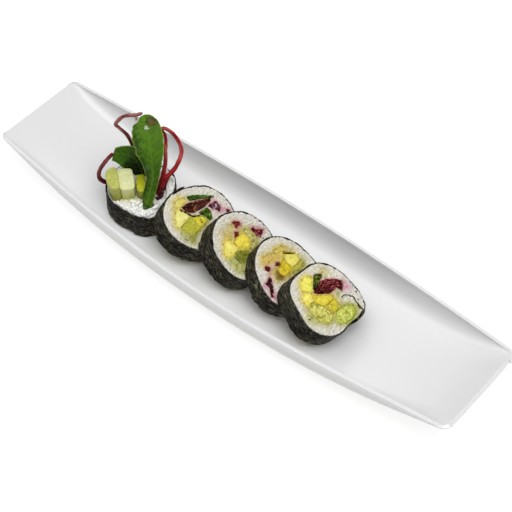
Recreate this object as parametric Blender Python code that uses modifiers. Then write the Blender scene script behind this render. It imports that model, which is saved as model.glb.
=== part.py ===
"""Five thick slices of maki sushi roll, leaning on each other along a long boat-shaped porcelain plate.

Every size is in millimetres, and MM turns it into Blender's metres where a mesh is made.
The origin is the middle of the plate's foot on the table, with +X along the plate.
"""

import math
from dataclasses import dataclass

import bmesh
import bpy
from mathutils import Euler, Matrix, Vector

MM = 0.001
GAP = 0.3  # room left between neighbouring pieces

# Plate
PLATE_LENGTH = 347.0  # along the eating surface, whose ends slope up
PLATE_HALF_WIDTH = 44.1  # at the middle
PLATE_END_HALF_WIDTH = 30.8
PLATE_WALL = 3.5
PLATE_RIM_WALL = 2.0  # where it has thinned at the rim
PLATE_CORNER = 4.0  # radius of the four corners, seen from above
PLATE_LIP = 0.8  # rounding of the rim's edges
RIM_END_HEIGHT = 28.5
RIM_DIP = 6.3  # how far the rim sags from the ends to the middle
RIM_SPRING = 2.7  # how far the rim rises above that sag on the way to the ends
FLOOR_HEIGHT = 6.0  # eating surface at the middle
FLOOR_RISE_POWER = 1.7
COVE_WIDTH = 13.0
COVE_POWER = 2.6  # 2 is a quarter ellipse, more is squarer
FOOT_LENGTH = 140.0
FOOT_WIDTH = 44.0
FOOT_CORNER = 12.0
FOOT_RING = 4.5
FOOT_HEIGHT = 4.2

# Rolls
NORI = 0.6  # one layer of the seaweed sheet
LAP = NORI + GAP  # how much deeper the sheet's start lies, under its end
LAP_ANGLE = 20.0
LAP_BLEND = 40.0
RIM_STEPS = 40  # points round a slice
REST_GAP = 0.4
CUTTER_OVERRUN = 3.0  # how far a cutter stands out of both cut faces


def scene_start():
    """Clear the scene, then make one collection for the pieces and one for the cutters."""
    for old in list(bpy.data.objects):
        bpy.data.objects.remove(old)
    pieces = bpy.data.collections.new("maki_plate")
    cutters = bpy.data.collections.new("cutters")
    cutters.hide_render = True
    for collection in (pieces, cutters):
        bpy.context.scene.collection.children.link(collection)
    return pieces, cutters


PIECES, CUTTERS = scene_start()


def make_material(name, colour, roughness):
    material = bpy.data.materials.new(name)
    material.use_nodes = True
    shader = material.node_tree.nodes["Principled BSDF"]
    shader.inputs["Base Color"].default_value = (*colour, 1.0)
    shader.inputs["Roughness"].default_value = roughness
    shader.inputs["Metallic"].default_value = 0.0
    return material


PORCELAIN = make_material("white_porcelain", (0.86, 0.86, 0.85), 0.15)
SEAWEED = make_material("nori", (0.03, 0.03, 0.025), 0.45)
RICE = make_material("cooked_rice", (0.80, 0.79, 0.74), 0.5)
MANGO = make_material("mango", (0.88, 0.70, 0.10), 0.4)
AVOCADO = make_material("avocado", (0.58, 0.66, 0.16), 0.45)
CUCUMBER = make_material("cucumber", (0.66, 0.72, 0.30), 0.35)
RADICCHIO = make_material("red_leaf", (0.16, 0.01, 0.03), 0.4)
LEAF = make_material("green_leaf", (0.08, 0.22, 0.02), 0.45)
STEM = make_material("red_stem", (0.28, 0.02, 0.03), 0.35)


def blend(low, high, value):
    """Smooth step from 0 at low to 1 at high."""
    share = min(max((value - low) / (high - low), 0.0), 1.0)
    return share * share * (3.0 - 2.0 * share)


def smooth_path(points, steps):
    """Points on a Catmull-Rom curve through the given ones, with this many steps per stretch."""
    ends = [2 * Vector(points[0]) - Vector(points[1]), 2 * Vector(points[-1]) - Vector(points[-2])]
    knots = [ends[0], *(Vector(point) for point in points), ends[1]]
    path = []
    for before, start, stop, after in zip(knots, knots[1:], knots[2:], knots[3:]):
        for step in range(steps):
            t = step / steps
            linear = (stop - before) * t
            square = (2 * before - 5 * start + 4 * stop - after) * t**2
            cube = (3 * start - before - 3 * stop + after) * t**3
            path.append(start + (linear + square + cube) / 2)
    path.append(Vector(points[-1]))
    return path


def link_mesh(name, mesh, material, collection=PIECES):
    piece = bpy.data.objects.new(name, mesh)
    mesh.materials.append(material)
    collection.objects.link(piece)
    mesh.shade_smooth()
    mesh.set_sharp_from_angle(angle=math.radians(40))
    return piece


def outline_slab(name, outlines, low, high, material, collection=PIECES):
    """A flat outline, with any holes, from height low to height high, as a mesh whose caps are welded."""
    curve = bpy.data.curves.new(name, "CURVE")
    curve.dimensions = "2D"
    curve.fill_mode = "BOTH"
    curve.extrude = (high - low) / 2 * MM
    for outline in outlines:
        spline = curve.splines.new("POLY")
        spline.points.add(len(outline) - 1)
        for point, (x, y) in zip(spline.points, outline):
            point.co = (x * MM, y * MM, 0.0, 1.0)
        spline.use_cyclic_u = True
    guide = bpy.data.objects.new(name, curve)
    bpy.context.scene.collection.objects.link(guide)
    graph = bpy.context.evaluated_depsgraph_get()
    mesh = bpy.data.meshes.new_from_object(guide.evaluated_get(graph))
    bpy.data.objects.remove(guide)
    bpy.data.curves.remove(curve)
    shape = bmesh.new()
    shape.from_mesh(mesh)
    bmesh.ops.remove_doubles(shape, verts=shape.verts, dist=1e-6)
    bmesh.ops.recalc_face_normals(shape, faces=shape.faces)
    bmesh.ops.translate(shape, verts=shape.verts, vec=(0, 0, (low + high) / 2 * MM))
    shape.to_mesh(mesh)
    shape.free()
    mesh.materials.clear()
    piece = link_mesh(name, mesh, material, collection)
    if collection is not PIECES:
        piece.display_type = "WIRE"
        piece.hide_render = True
    return piece


def add_boolean(piece, operation, other):
    modifier = piece.modifiers.new(operation.title(), "BOOLEAN")
    modifier.operation = operation
    modifier.solver = "EXACT"
    modifier.object = other


# ---------------------------------------------------------------- plate


def end_share(x):
    """0 at the plate's middle, 1 at its ends, growing with the square of the distance."""
    return min((2 * x / PLATE_LENGTH) ** 2, 1.0)


def rim_half_width(x):
    width = PLATE_HALF_WIDTH + (PLATE_END_HALF_WIDTH - PLATE_HALF_WIDTH) * end_share(x)
    into_corner = max(abs(x) - (PLATE_LENGTH / 2 - PLATE_CORNER), 0.0)
    return width - PLATE_CORNER + math.sqrt(max(PLATE_CORNER**2 - into_corner**2, 0.0))


def rim_height(x):
    share = end_share(x)
    return RIM_END_HEIGHT - RIM_DIP * (1 - share) + RIM_SPRING * share * (1 - share)


def floor_height(x):
    return FLOOR_HEIGHT + (RIM_END_HEIGHT - FLOOR_HEIGHT) * end_share(x) ** FLOOR_RISE_POWER


def inner_half_width(x):
    """Half the width inside the walls, which stand out most where the plate is deepest."""
    depth_share = (rim_height(x) - floor_height(x)) / (rim_height(0) - floor_height(0))
    return rim_half_width(x) - PLATE_RIM_WALL * depth_share


def plate_top(x, y):
    """Height of the eating surface: a flat floor with a cove up to the rim on both sides."""
    into_cove = abs(y) - (inner_half_width(x) - COVE_WIDTH)
    share = min(max(into_cove / COVE_WIDTH, 0.0), 1.0)
    climb = 1 - (1 - share**COVE_POWER) ** (1 / COVE_POWER)
    return floor_height(x) + (rim_height(x) - floor_height(x)) * climb


def spread(count, low, high):
    return [low + (high - low) * step / count for step in range(count + 1)]


def make_plate():
    """The glazed shell: a grid drawn into the eating surface, given its wall, rounded rim and foot ring."""
    corner_start = PLATE_LENGTH / 2 - PLATE_CORNER
    corner = [corner_start + PLATE_CORNER * math.sin(math.radians(turn)) for turn in (30, 60, 90)]
    stations = [-x for x in reversed(corner)] + spread(16, -corner_start, corner_start) + corner
    cove_turns = [math.radians(angle) for angle in (24, 45, 63, 78, 90)]
    cove = [math.sin(turn) ** (2 / COVE_POWER) for turn in cove_turns]
    across = [-1 - share for share in reversed(cove)] + spread(2, -1, 1) + [1 + share for share in cove]
    bpy.ops.mesh.primitive_grid_add(x_subdivisions=len(stations) - 1, y_subdivisions=len(across) - 1, size=1)
    plate = bpy.context.object
    plate.name = "plate"
    for collection in list(plate.users_collection):
        collection.objects.unlink(plate)
    PIECES.objects.link(plate)
    walls = plate.vertex_groups.new(name="wall")
    for vertex in plate.data.vertices:
        x = stations[round((vertex.co.x + 0.5) * (len(stations) - 1))]
        place = across[round((vertex.co.y + 0.5) * (len(across) - 1))]
        floor_half = inner_half_width(x) - COVE_WIDTH
        side = math.copysign(1, place)
        into_cove = max(abs(place) - 1, 0.0) * COVE_WIDTH
        y = side * (min(abs(place), 1.0) * floor_half + into_cove)
        vertex.co = Vector((x, y, plate_top(x, y))) * MM
        climb = (plate_top(x, y) - floor_height(x)) / max(rim_height(x) - floor_height(x), 1e-6)
        thinned = 1 - min(climb, 1.0) * (1 - PLATE_RIM_WALL / PLATE_WALL)
        walls.add([vertex.index], thinned, "REPLACE")
    plate.data.materials.append(PORCELAIN)
    plate.data.shade_smooth()
    plate.data.set_sharp_from_angle(angle=math.radians(40))
    wall = plate.modifiers.new("Wall", "SOLIDIFY")
    wall.thickness = PLATE_WALL * MM
    wall.vertex_group = walls.name
    wall.offset = -1
    wall.use_even_offset = True
    lip = plate.modifiers.new("Lip", "BEVEL")
    lip.width = PLATE_LIP * MM
    lip.segments = 2
    lip.limit_method = "ANGLE"
    lip.angle_limit = math.radians(50)
    add_boolean(plate, "UNION", make_foot())


def rounded_rectangle(length, width, radius, steps=4):
    corners = ((1, 1, 0), (-1, 1, 90), (-1, -1, 180), (1, -1, 270))
    outline = []
    for side_x, side_y, start in corners:
        for step in range(steps + 1):
            turn = math.radians(start + 90 * step / steps)
            x = side_x * (length / 2 - radius) + radius * math.cos(turn)
            y = side_y * (width / 2 - radius) + radius * math.sin(turn)
            outline.append((x, y))
    return outline


def make_foot():
    """The low unglazed ring under the plate, up to the inside of the plate's floor."""
    outer = rounded_rectangle(FOOT_LENGTH, FOOT_WIDTH, FOOT_CORNER)
    inner_size = (FOOT_LENGTH - 2 * FOOT_RING, FOOT_WIDTH - 2 * FOOT_RING, FOOT_CORNER - FOOT_RING)
    inner = rounded_rectangle(*inner_size)
    return outline_slab("foot_ring", [outer, inner], 0.0, FOOT_HEIGHT, PORCELAIN, CUTTERS)


# ---------------------------------------------------------------- slices


@dataclass
class Slice:
    """One slice. Local +Z is the cut face's direction, +X runs down the slope and +Y across the plate."""

    name: str
    x: float
    y: float
    turn: float
    lean: float  # from lying flat, towards +X
    thickness: float
    radius: float
    seam: float  # where the sheet's outer end lies, in degrees from local +X
    lobes: tuple  # (times round, share of the radius, direction in degrees): what makes it not quite round

    def outer_radius(self, angle):
        lobes = (share * math.cos(math.radians(times * (angle - to))) for times, share, to in self.lobes)
        return self.radius * (1 + sum(lobes))

    def sheet_depth(self, travelled):
        """How far the sheet lies under the outline, after so many degrees from its inner start."""
        return LAP * (1 - blend(LAP_ANGLE + 6, LAP_ANGLE + LAP_BLEND, travelled))

    def sheet_point(self, travelled, inset=NORI / 2):
        angle = self.seam + LAP_ANGLE - travelled
        radius = self.outer_radius(angle) - self.sheet_depth(travelled) - inset
        return Vector((math.cos(math.radians(angle)), math.sin(math.radians(angle)))) * radius

    def rice_outline(self):
        return [self.sheet_point(360 * step / RIM_STEPS, NORI + GAP) for step in range(RIM_STEPS)]

    def place(self):
        """The slice's matrix in metres, lowered until it rests on the plate."""
        turned = Euler((0, math.radians(self.lean), math.radians(self.turn))).to_matrix().to_4x4()
        clearances = []
        for step in range(RIM_STEPS):
            x, y = self.sheet_point((360 + LAP_ANGLE) * step / RIM_STEPS, 0)
            point = turned @ Vector((x, y, -self.thickness)) + Vector((self.x, self.y, 0))
            clearances.append(point.z - plate_top(point.x, point.y))
        height = REST_GAP - min(clearances)
        return Matrix.Translation(Vector((self.x, self.y, height)) * MM) @ turned


SLICES = [
    Slice("roll_1", -73.4, -7.4, 10, 5, 17.5, 22.3, -70, ((2, 0.046, 139), (3, 0.045, 75), (4, 0.026, 54))),
    Slice("roll_2", -25.6, -5.9, 12, 28, 16.8, 22.8, 150, ((2, 0.038, 54), (3, 0.015, 91))),
    Slice("roll_3", 9.4, -6.0, 11, 34, 17.0, 21.5, 205, ((2, 0.021, 159), (3, 0.024, 66), (4, 0.010, 120))),
    Slice("roll_4", 42.5, -4.9, 9, 29, 14.3, 22.1, 250, ((2, 0.060, 167), (3, 0.040, 150))),
    Slice("roll_5", 72.8, -6.8, 7, 32, 16.6, 22.0, 6, (
        (1, 0.043, 304), (2, 0.038, 24), (3, 0.031, 46), (4, 0.052, 33), (6, 0.018, 30))),
]


def baton(x, y, length, width, turn, power=3.0, steps=12):
    """The cross-section of a cut stick: a soft-cornered rectangle. The result takes how much to grow it."""

    def outline(grow=0.0):
        points = []
        for step in range(steps):
            angle = 2 * math.pi * step / steps
            along = math.copysign(abs(math.cos(angle)) ** (2 / power), math.cos(angle))
            over = math.copysign(abs(math.sin(angle)) ** (2 / power), math.sin(angle))
            offset = Vector((along * (length / 2 + grow), over * (width / 2 + grow)))
            offset.rotate(Matrix.Rotation(math.radians(turn), 2))
            points.append(Vector((x, y)) + offset)
        return points

    return outline


def ribbon(points, thickness, steps=3):
    """The cross-section of a leaf, peel or sheet that runs through the slice along a curved line."""

    def outline(grow=0.0):
        path = smooth_path(points, steps)
        half = thickness / 2 + grow
        heads = [(path[1] - path[0]).normalized(), (path[-1] - path[-2]).normalized()]
        path[0] = path[0] - heads[0] * grow
        path[-1] = path[-1] + heads[1] * grow
        left, right = [], []
        for index, point in enumerate(path):
            ahead = path[min(index + 1, len(path) - 1)] - path[max(index - 1, 0)]
            side = Vector((-ahead.y, ahead.x)).normalized() * half
            left.append(point + side)
            right.append(point - side)
        return left + right[::-1]

    return outline


def chunk(points):
    """The cross-section of an uneven piece, as its corners in order, anticlockwise."""

    def outline(grow=0.0):
        corners = [Vector(point) for point in points]
        grown = []
        for index, corner in enumerate(corners):
            before = (corner - corners[index - 1]).normalized()
            after = (corners[(index + 1) % len(corners)] - corner).normalized()
            out = (Vector((before.y, -before.x)) + Vector((after.y, -after.x))).normalized()
            sharpness = max(out.dot(Vector((after.y, -after.x))), 0.5)
            grown.append(corner + out * (grow / sharpness))
        return grown

    return outline


def child_of(piece, frame):
    piece.parent = frame
    return piece


def make_frame(cut):
    frame = bpy.data.objects.new(cut.name + "_frame", None)
    frame.matrix_world = cut.place()
    PIECES.objects.link(frame)
    return frame


def make_sheet(cut, frame, tail=()):
    """The nori: one sheet wound round the rice, its start under its end, or tucked into the filling."""
    path = [cut.sheet_point(360.0 * step / RIM_STEPS) for step in range(RIM_STEPS)]
    path += [cut.sheet_point(360.0 + LAP_ANGLE * step / 3) for step in range(4)]
    if tail:
        path = smooth_path([*tail, tuple(path[0])], 3)[:-1] + path
    shape = bmesh.new()
    low = [shape.verts.new((x * MM, y * MM, -cut.thickness * MM)) for x, y in path]
    edges = [shape.edges.new(pair) for pair in zip(low, low[1:])]
    grown = bmesh.ops.extrude_edge_only(shape, edges=edges)["geom"]
    raised = [item for item in grown if isinstance(item, bmesh.types.BMVert)]
    bmesh.ops.translate(shape, verts=raised, vec=(0, 0, cut.thickness * MM))
    mesh = bpy.data.meshes.new(cut.name + "_nori")
    shape.to_mesh(mesh)
    shape.free()
    sheet = child_of(link_mesh(cut.name + "_nori", mesh, SEAWEED), frame)
    thicken = sheet.modifiers.new("Thickness", "SOLIDIFY")
    thicken.thickness = NORI * MM
    thicken.offset = 0
    thicken.use_even_offset = True


def make_slice(cut, fillings, tail=()):
    """One slice: its sheet, its fillings, and the rice with a hole for each of them."""
    frame = make_frame(cut)
    make_sheet(cut, frame, tail)
    rice_name = cut.name + "_rice"
    rice = child_of(outline_slab(rice_name, [cut.rice_outline()], -cut.thickness, 0.0, RICE), frame)
    holes = [(shape, -cut.thickness - CUTTER_OVERRUN) for _, shape, _, _ in fillings]
    if tail:
        holes.append((ribbon([*tail, tuple(cut.sheet_point(0, 0))], NORI), -cut.thickness - CUTTER_OVERRUN))
    for number, (shape, low) in enumerate(holes):
        hole = (rice_name + f"_hole_{number}", [shape(GAP)], low, CUTTER_OVERRUN)
        add_boolean(rice, "DIFFERENCE", child_of(outline_slab(*hole, RICE, CUTTERS), frame))
    for name, shape, proud, material in fillings:
        full_name = cut.name + "_" + name
        child_of(outline_slab(full_name, [shape()], -cut.thickness, proud, material), frame)


def make_rolls():
    first, second, third, fourth, fifth = SLICES
    make_slice(first, [
        ("cucumber", chunk([(-17.4, -5.6), (-18.2, -8.8), (-16.3, -12.0), (-13.2, -14.9), (-9.6, -17.0),
                            (-6.6, -16.2), (-5.7, -14.2), (-10.0, -9.3), (-14.5, -4.2), (-16.0, -4.0)]),
         12.0, CUCUMBER),
        ("avocado", baton(-6.6, -5.9, 15.2, 8.6, -49, 5), 9.0, AVOCADO),
        ("mango", baton(1.1, -1.9, 12.4, 5.4, -54, 3.4), 7.4, MANGO),
        ("leaf_stalk", baton(11.2, -9.4, 7.5, 3.0, 65), 0.4, LEAF),
        ("red_leaf", ribbon([(12.4, -2.2), (13.0, 1.4), (11.6, 4.8)], 2.6), 1.5, RADICCHIO),
    ])
    make_slice(second, [
        ("leaf_strip", chunk([(-10.8, 5.2), (-9.4, 7.2), (-6.8, 10.8), (-3.4, 14.6), (0.0, 17.6), (-0.4, 19.2),
                              (-4.0, 16.2), (-8.4, 12.6), (-12.2, 8.6), (-14.8, 5.6)]), 0.2, LEAF),
        ("red_leaf", chunk([(-11.8, -2.4), (-9.4, -2.6), (-6.6, -1.6), (-4.6, 0.6), (-3.4, 3.6), (-1.8, 8.0),
                            (-1.6, 11.2), (-0.6, 14.2), (-0.8, 16.2), (-2.8, 13.8), (-6.0, 10.2), (-8.6, 6.8),
                            (-10.4, 3.8), (-11.6, 0.6)]), 0.3, RADICCHIO),
        ("red_leaf_rib", chunk([(0.0, 10.2), (2.4, 9.4), (4.4, 11.2), (7.6, 12.0), (6.2, 15.6), (4.0, 16.0),
                                (1.4, 16.2), (0.2, 13.4)]), 0.2, RADICCHIO),
        ("red_leaf_end", chunk([(10.2, 15.4), (11.4, 15.8), (12.4, 17.2), (11.6, 18.0), (9.8, 16.4)]),
         0.0, RADICCHIO),
        ("green_leaf", chunk([(-2.2, 3.0), (-0.8, 1.8), (1.4, 3.0), (3.4, 2.8), (6.0, 2.6), (6.4, 5.6), (4.4, 7.4),
                              (1.8, 8.8), (-0.2, 9.0), (-1.0, 6.4)]), 0.3, LEAF),
        ("nori_fold", ribbon([(-12.4, -4.4), (-9.4, -3.6), (-6.4, -3.0), (-4.2, -2.7), (-2.4, -0.8), (-0.9, 0.9)],
                             NORI, 2), 0.1, SEAWEED),
        ("mango_1", chunk([(-17.0, -2.4), (-14.8, -4.0), (-12.8, -3.2), (-12.5, -0.8), (-12.9, 2.6), (-14.4, 3.2),
                           (-16.8, 1.2)]), 0.3, MANGO),
        ("mango_2", chunk([(-12.8, -7.8), (-11.6, -10.4), (-9.4, -13.2), (-7.2, -15.2), (-5.8, -14.6), (-5.4, -9.6),
                           (-5.4, -5.6), (-6.2, -4.2), (-9.4, -4.8), (-12.2, -5.6)]), 0.4, MANGO),
        ("avocado", chunk([(-4.4, -4.8), (-4.8, -9.0), (-4.8, -14.2), (-2.6, -14.8), (0.6, -14.0), (3.6, -12.4),
                           (4.2, -8.4), (4.4, -3.0), (4.6, 1.2), (2.4, 1.8), (0.2, 0.8)]), 0.2, AVOCADO),
        ("avocado_end", chunk([(2.6, -16.4), (4.6, -17.0), (6.0, -15.8), (4.4, -13.6), (2.4, -14.6)]),
         0.0, AVOCADO),
    ])
    make_slice(third, [
        ("red_leaf_1", chunk([(-13.4, 6.4), (-11.6, 6.8), (-10.6, 5.8), (-9.2, 5.4), (-9.2, 7.4), (-8.4, 9.0),
                              (-9.8, 10.4), (-11.2, 9.8), (-13.2, 8.2)]), 0.2, RADICCHIO),
        ("red_leaf_2", chunk([(-9.2, 2.4), (-8.0, 1.6), (-7.2, 0.6), (-6.6, -0.6), (-6.0, 2.6), (-6.0, 4.0),
                              (-7.6, 4.2)]), 0.1, RADICCHIO),
        ("red_leaf_3", chunk([(-3.0, 13.2), (-2.2, 12.0), (-0.6, 11.4), (1.4, 12.0), (2.8, 10.8), (4.2, 12.6),
                              (5.0, 15.6), (4.4, 18.0), (3.4, 16.8), (1.4, 15.4), (0.2, 13.8), (-1.8, 14.4)]),
         0.2, RADICCHIO),
        ("mango_1", chunk([(-5.6, 0.8), (-5.2, -2.6), (-2.6, -3.4), (0.8, -2.6), (2.8, -0.4), (2.6, 2.6),
                           (0.6, 5.2), (-2.6, 5.8), (-5.0, 4.2)]), 0.4, MANGO),
        ("mango_2", chunk([(-9.6, -8.4), (-7.4, -11.2), (-4.8, -14.0), (-2.4, -12.8), (-1.6, -9.4), (-1.0, -5.8),
                           (-2.8, -4.2), (-6.2, -4.2), (-9.4, -5.2)]), 0.3, MANGO),
        ("avocado_1", chunk([(-4.4, 6.9), (-1.6, 7.0), (1.6, 6.4), (3.6, 4.2), (3.9, 1.2), (5.6, 1.0), (6.0, 5.0),
                             (4.6, 8.4), (1.6, 9.6), (-2.6, 10.2), (-5.0, 8.6)]), 0.2, AVOCADO),
        ("avocado_2", chunk([(-0.9, -8.0), (0.4, -10.2), (4.4, -10.4), (6.2, -9.0), (6.4, -4.6), (5.8, -2.0),
                             (4.6, -1.4), (2.0, -3.6), (-0.2, -5.6)]), 0.3, AVOCADO),
        ("avocado_3", chunk([(-1.2, -11.6), (-0.8, -14.0), (2.2, -15.0), (6.2, -15.4), (8.6, -14.0), (7.2, -11.8),
                             (4.6, -11.2), (0.6, -11.0)]), 0.1, AVOCADO),
    ])
    make_slice(fourth, [
        ("mango_1", chunk([(-9.4, 3.2), (-10.2, 4.4), (-12.6, 3.6), (-15.8, 0.6), (-16.8, -3.2), (-14.8, -6.0),
                           (-13.4, -4.0), (-12.6, -1.0), (-10.6, 1.2)]), 0.2, MANGO),
        ("mango_2", chunk([(-7.8, 8.8), (-6.6, 6.2), (-4.2, 5.0), (-0.6, 5.4), (0.4, 8.4), (0.0, 11.8),
                           (-3.6, 12.8)]), 0.4, MANGO),
        ("mango_3", chunk([(-7.4, 4.8), (-6.4, 1.0), (-5.8, -2.4), (-3.4, -3.6), (-0.4, -2.6), (0.4, 2.0),
                           (-0.8, 4.6), (-4.4, 4.2)]), 0.3, MANGO),
        ("mango_4", chunk([(-4.4, -6.2), (-2.6, -7.6), (-1.2, -6.0), (-0.8, -3.8), (-3.4, -4.4), (-6.2, -3.6)]),
         0.1, MANGO),
        ("mango_5", chunk([(-13.6, 8.0), (-15.0, 5.4), (-13.6, 4.5), (-10.4, 5.4), (-8.4, 5.2), (-8.6, 7.0),
                           (-9.8, 8.6), (-10.6, 11.4), (-12.8, 10.8)]), 0.2, MANGO),
        ("green_leaf", ribbon([(-9.2, 9.0), (-6.6, 11.4), (-3.8, 14.2)], 1.0), 0.2, LEAF),
        ("avocado", chunk([(0.9, 8.6), (0.2, 5.0), (0.9, 3.4), (2.6, 4.6), (3.8, 8.0), (3.4, 11.6), (1.2, 12.4)]),
         0.2, AVOCADO),
        ("red_leaf_1", chunk([(-12.8, -6.6), (-11.2, -8.2), (-9.2, -7.4), (-9.6, -5.0), (-12.4, -4.8)]),
         0.1, RADICCHIO),
        ("red_leaf_2", chunk([(-9.0, -1.8), (-7.6, -0.8), (-6.9, 1.4), (-8.4, 2.2), (-9.6, -0.4)]), 0.1, RADICCHIO),
        ("red_leaf_3", chunk([(-7.8, -9.8), (-6.2, -12.8), (-6.6, -15.0), (-3.4, -14.8), (-1.2, -17.2),
                              (1.0, -19.2), (2.6, -18.8), (0.6, -16.6), (-1.8, -14.2), (-4.2, -11.8),
                              (-6.2, -10.0)]), 0.2, RADICCHIO),
    ])
    make_slice(fifth, [
        ("mango_1", chunk([(-15.6, 1.6), (-17.2, -1.2), (-16.6, -5.0), (-14.2, -7.6), (-12.6, -7.2), (-9.6, -4.4),
                           (-9.7, -3.2), (-13.2, 1.4)]), 0.4, MANGO),
        ("mango_2", chunk([(-11.6, -8.2), (-10.0, -11.8), (-6.2, -12.6), (-5.2, -10.5), (-5.4, -7.4),
                           (-8.6, -5.4)]), 0.3, MANGO),
        ("mango_3", chunk([(-6.8, -5.2), (-3.4, -7.6), (-1.2, -6.6), (1.6, -5.2), (2.4, -2.4), (3.0, 1.4),
                           (1.6, 3.0), (-0.8, 1.0), (-3.6, -2.2)]), 0.4, MANGO),
        ("mango_4", chunk([(3.0, -3.4), (5.0, -4.6), (8.4, -3.6), (9.0, -0.6), (6.6, 1.8), (3.8, 2.8),
                           (3.6, 0.4)]), 0.3, MANGO),
        ("avocado_1", chunk([(-4.2, -8.2), (-4.6, -11.0), (-3.0, -13.6), (0.8, -14.8), (5.4, -14.2), (9.6, -11.4),
                             (10.2, -7.6), (8.4, -5.0), (5.2, -5.4), (2.2, -5.9), (-1.2, -7.3)]), 0.3, AVOCADO),
        ("avocado_2", chunk([(9.7, -2.6), (11.6, -5.8), (14.4, -6.4), (17.6, -3.2), (19.0, 1.4), (18.6, 5.6),
                             (16.6, 8.4), (13.6, 7.6), (11.0, 4.4), (9.8, 1.2)]), 0.3, AVOCADO),
        ("green_leaf", chunk([(-13.8, 5.8), (-13.0, 3.2), (-10.8, 0.2), (-8.9, -2.4), (-8.5, -1.2), (-9.0, 2.0),
                              (-9.5, 5.6), (-9.5, 8.2), (-10.2, 9.6), (-12.4, 8.2)]), 0.2, LEAF),
        ("red_leaf", chunk([(-8.9, 4.6), (-8.4, 0.6), (-7.4, -3.4), (-5.4, -2.2), (-3.0, 0.4), (-0.6, 3.2),
                            (0.0, 6.0), (0.4, 9.8), (4.4, 10.8), (3.4, 13.2), (1.8, 15.8), (-2.4, 13.2),
                            (-4.8, 11.0), (-7.2, 8.2)]), 0.3, RADICCHIO),
    ], tail=[(6.2, 6.6), (7.2, 9.8), (11.2, 12.2), (15.0, 11.4)])


# ---------------------------------------------------------------- garnish


def make_leaf(name, points, widths, side, cup, thickness=0.8):
    """A leaf blade: a grid drawn along a curved midrib, cupped across it, then given its thickness."""
    steps = 3
    rib = [point * MM for point in smooth_path(points, steps)]
    spans = [span.x for span in smooth_path([(width, 0) for width in widths], steps)]
    half_columns = 2
    columns = 2 * half_columns
    bpy.ops.mesh.primitive_grid_add(x_subdivisions=columns, y_subdivisions=len(rib) - 1, size=1)
    leaf = bpy.context.object
    leaf.name = name
    for collection in list(leaf.users_collection):
        collection.objects.unlink(leaf)
    PIECES.objects.link(leaf)
    for vertex in leaf.data.vertices:
        row = round((vertex.co.y + 0.5) * (len(rib) - 1))
        across = vertex.co.x * 2
        ahead = (rib[min(row + 1, len(rib) - 1)] - rib[max(row - 1, 0)]).normalized()
        over = (Vector(side) - ahead * ahead.dot(Vector(side))).normalized()
        facing = over.cross(ahead)
        half_width = spans[row] / 2 * MM
        vertex.co = rib[row] + over * across * half_width + facing * cup * across**2 * half_width
    leaf.data.materials.append(LEAF)
    leaf.data.shade_smooth()
    thicken = leaf.modifiers.new("Thickness", "SOLIDIFY")
    thicken.thickness = thickness * MM
    thicken.offset = 0


def make_stem(name, points, diameter, steps=2):
    """A thin bent stem: a round wire on a smooth line through its points."""
    curve = bpy.data.curves.new(name, "CURVE")
    curve.dimensions = "3D"
    curve.bevel_depth = diameter / 2 * MM
    curve.bevel_resolution = 1
    curve.use_fill_caps = True
    spline = curve.splines.new("POLY")
    path = smooth_path(points, steps)
    spline.points.add(len(path) - 1)
    for point, place in zip(spline.points, path):
        point.co = (*(place * MM), 1.0)
    curve.materials.append(STEM)
    PIECES.objects.link(bpy.data.objects.new(name, curve))


def make_garnish():
    """Beet leaves and their red stems, stood in the first slice."""
    large = [(-61.4, -14.9, 26.6), (-62.4, -10.8, 32.8), (-63.5, -5.6, 41.0), (-66.8, -1.9, 49.3),
             (-71.4, 2.1, 60.0), (-75.1, 5.2, 68.2), (-77.4, 7.0, 73.6)]
    make_leaf("garnish_large_leaf", large, (4.5, 7.6, 7.6, 12.5, 18.6, 15.4, 4), (0.72, 0.60, 0.2), 0.22)
    small = [(-79.2, -0.2, 28.0), (-80.6, -1.6, 36.6), (-82.8, -3.7, 43.4), (-86.2, -7.0, 46.8),
             (-90.4, -11.2, 49.2)]
    make_leaf("garnish_small_leaf", small, (4, 11, 15, 15, 11), (0.45, 0.40, 0.80), 0.15)
    loop = [(-62.0, -2.6, 29.4), (-62.4, 2.1, 33.5), (-60.3, 6.1, 37.2), (-58.8, 9.7, 40.9),
            (-58.0, 13.9, 47.3), (-59.0, 15.9, 52.4), (-62.0, 16.1, 57.8), (-65.7, 15.1, 62.3),
            (-69.4, 13.2, 64.6), (-71.4, 12.6, 62.6), (-69.0, 13.2, 58.2), (-67.4, 11.6, 54.1),
            (-66.7, 10.0, 50.1), (-65.2, 7.6, 43.4), (-64.6, 5.4, 37.6)]
    make_stem("garnish_stem_loop", loop, 2.3)
    hook = [(-82.0, 2.6, 28.4), (-84.2, 1.8, 39.0), (-86.2, 0.9, 49.6), (-88.3, 0.1, 56.8),
            (-91.9, -2.1, 62.6), (-93.7, -3.2, 65.6), (-91.1, 0.2, 70.3), (-88.3, 3.1, 71.5),
            (-85.6, 5.6, 71.4), (-81.8, 9.4, 72.4)]
    make_stem("garnish_stem_hook", hook, 2.2)
    side = [(-88.4, -14.4, 51.9), (-91.5, -17.4, 46.2), (-94.2, -20.0, 40.3), (-95.5, -21.3, 35.1),
            (-95.4, -21.2, 31.2), (-93.8, -19.8, 28.6)]
    make_stem("garnish_stem_side", side, 2.4)


make_plate()
make_rolls()
make_garnish()
bpy.context.view_layer.update()
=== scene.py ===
# Five thick slices of maki sushi roll, leaning on each other along a long white boat-shaped plate, with beet
# leaves stood in the first one. Sizes are in millimetres and world places have +X along the plate, from the
# garnished slice to the last one, and +Z up; MM turns both into Blender's metres where a mesh is made.
import math
from dataclasses import dataclass

import bmesh
import bpy
import numpy as np
from mathutils import Euler, Matrix, Vector, noise


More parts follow.
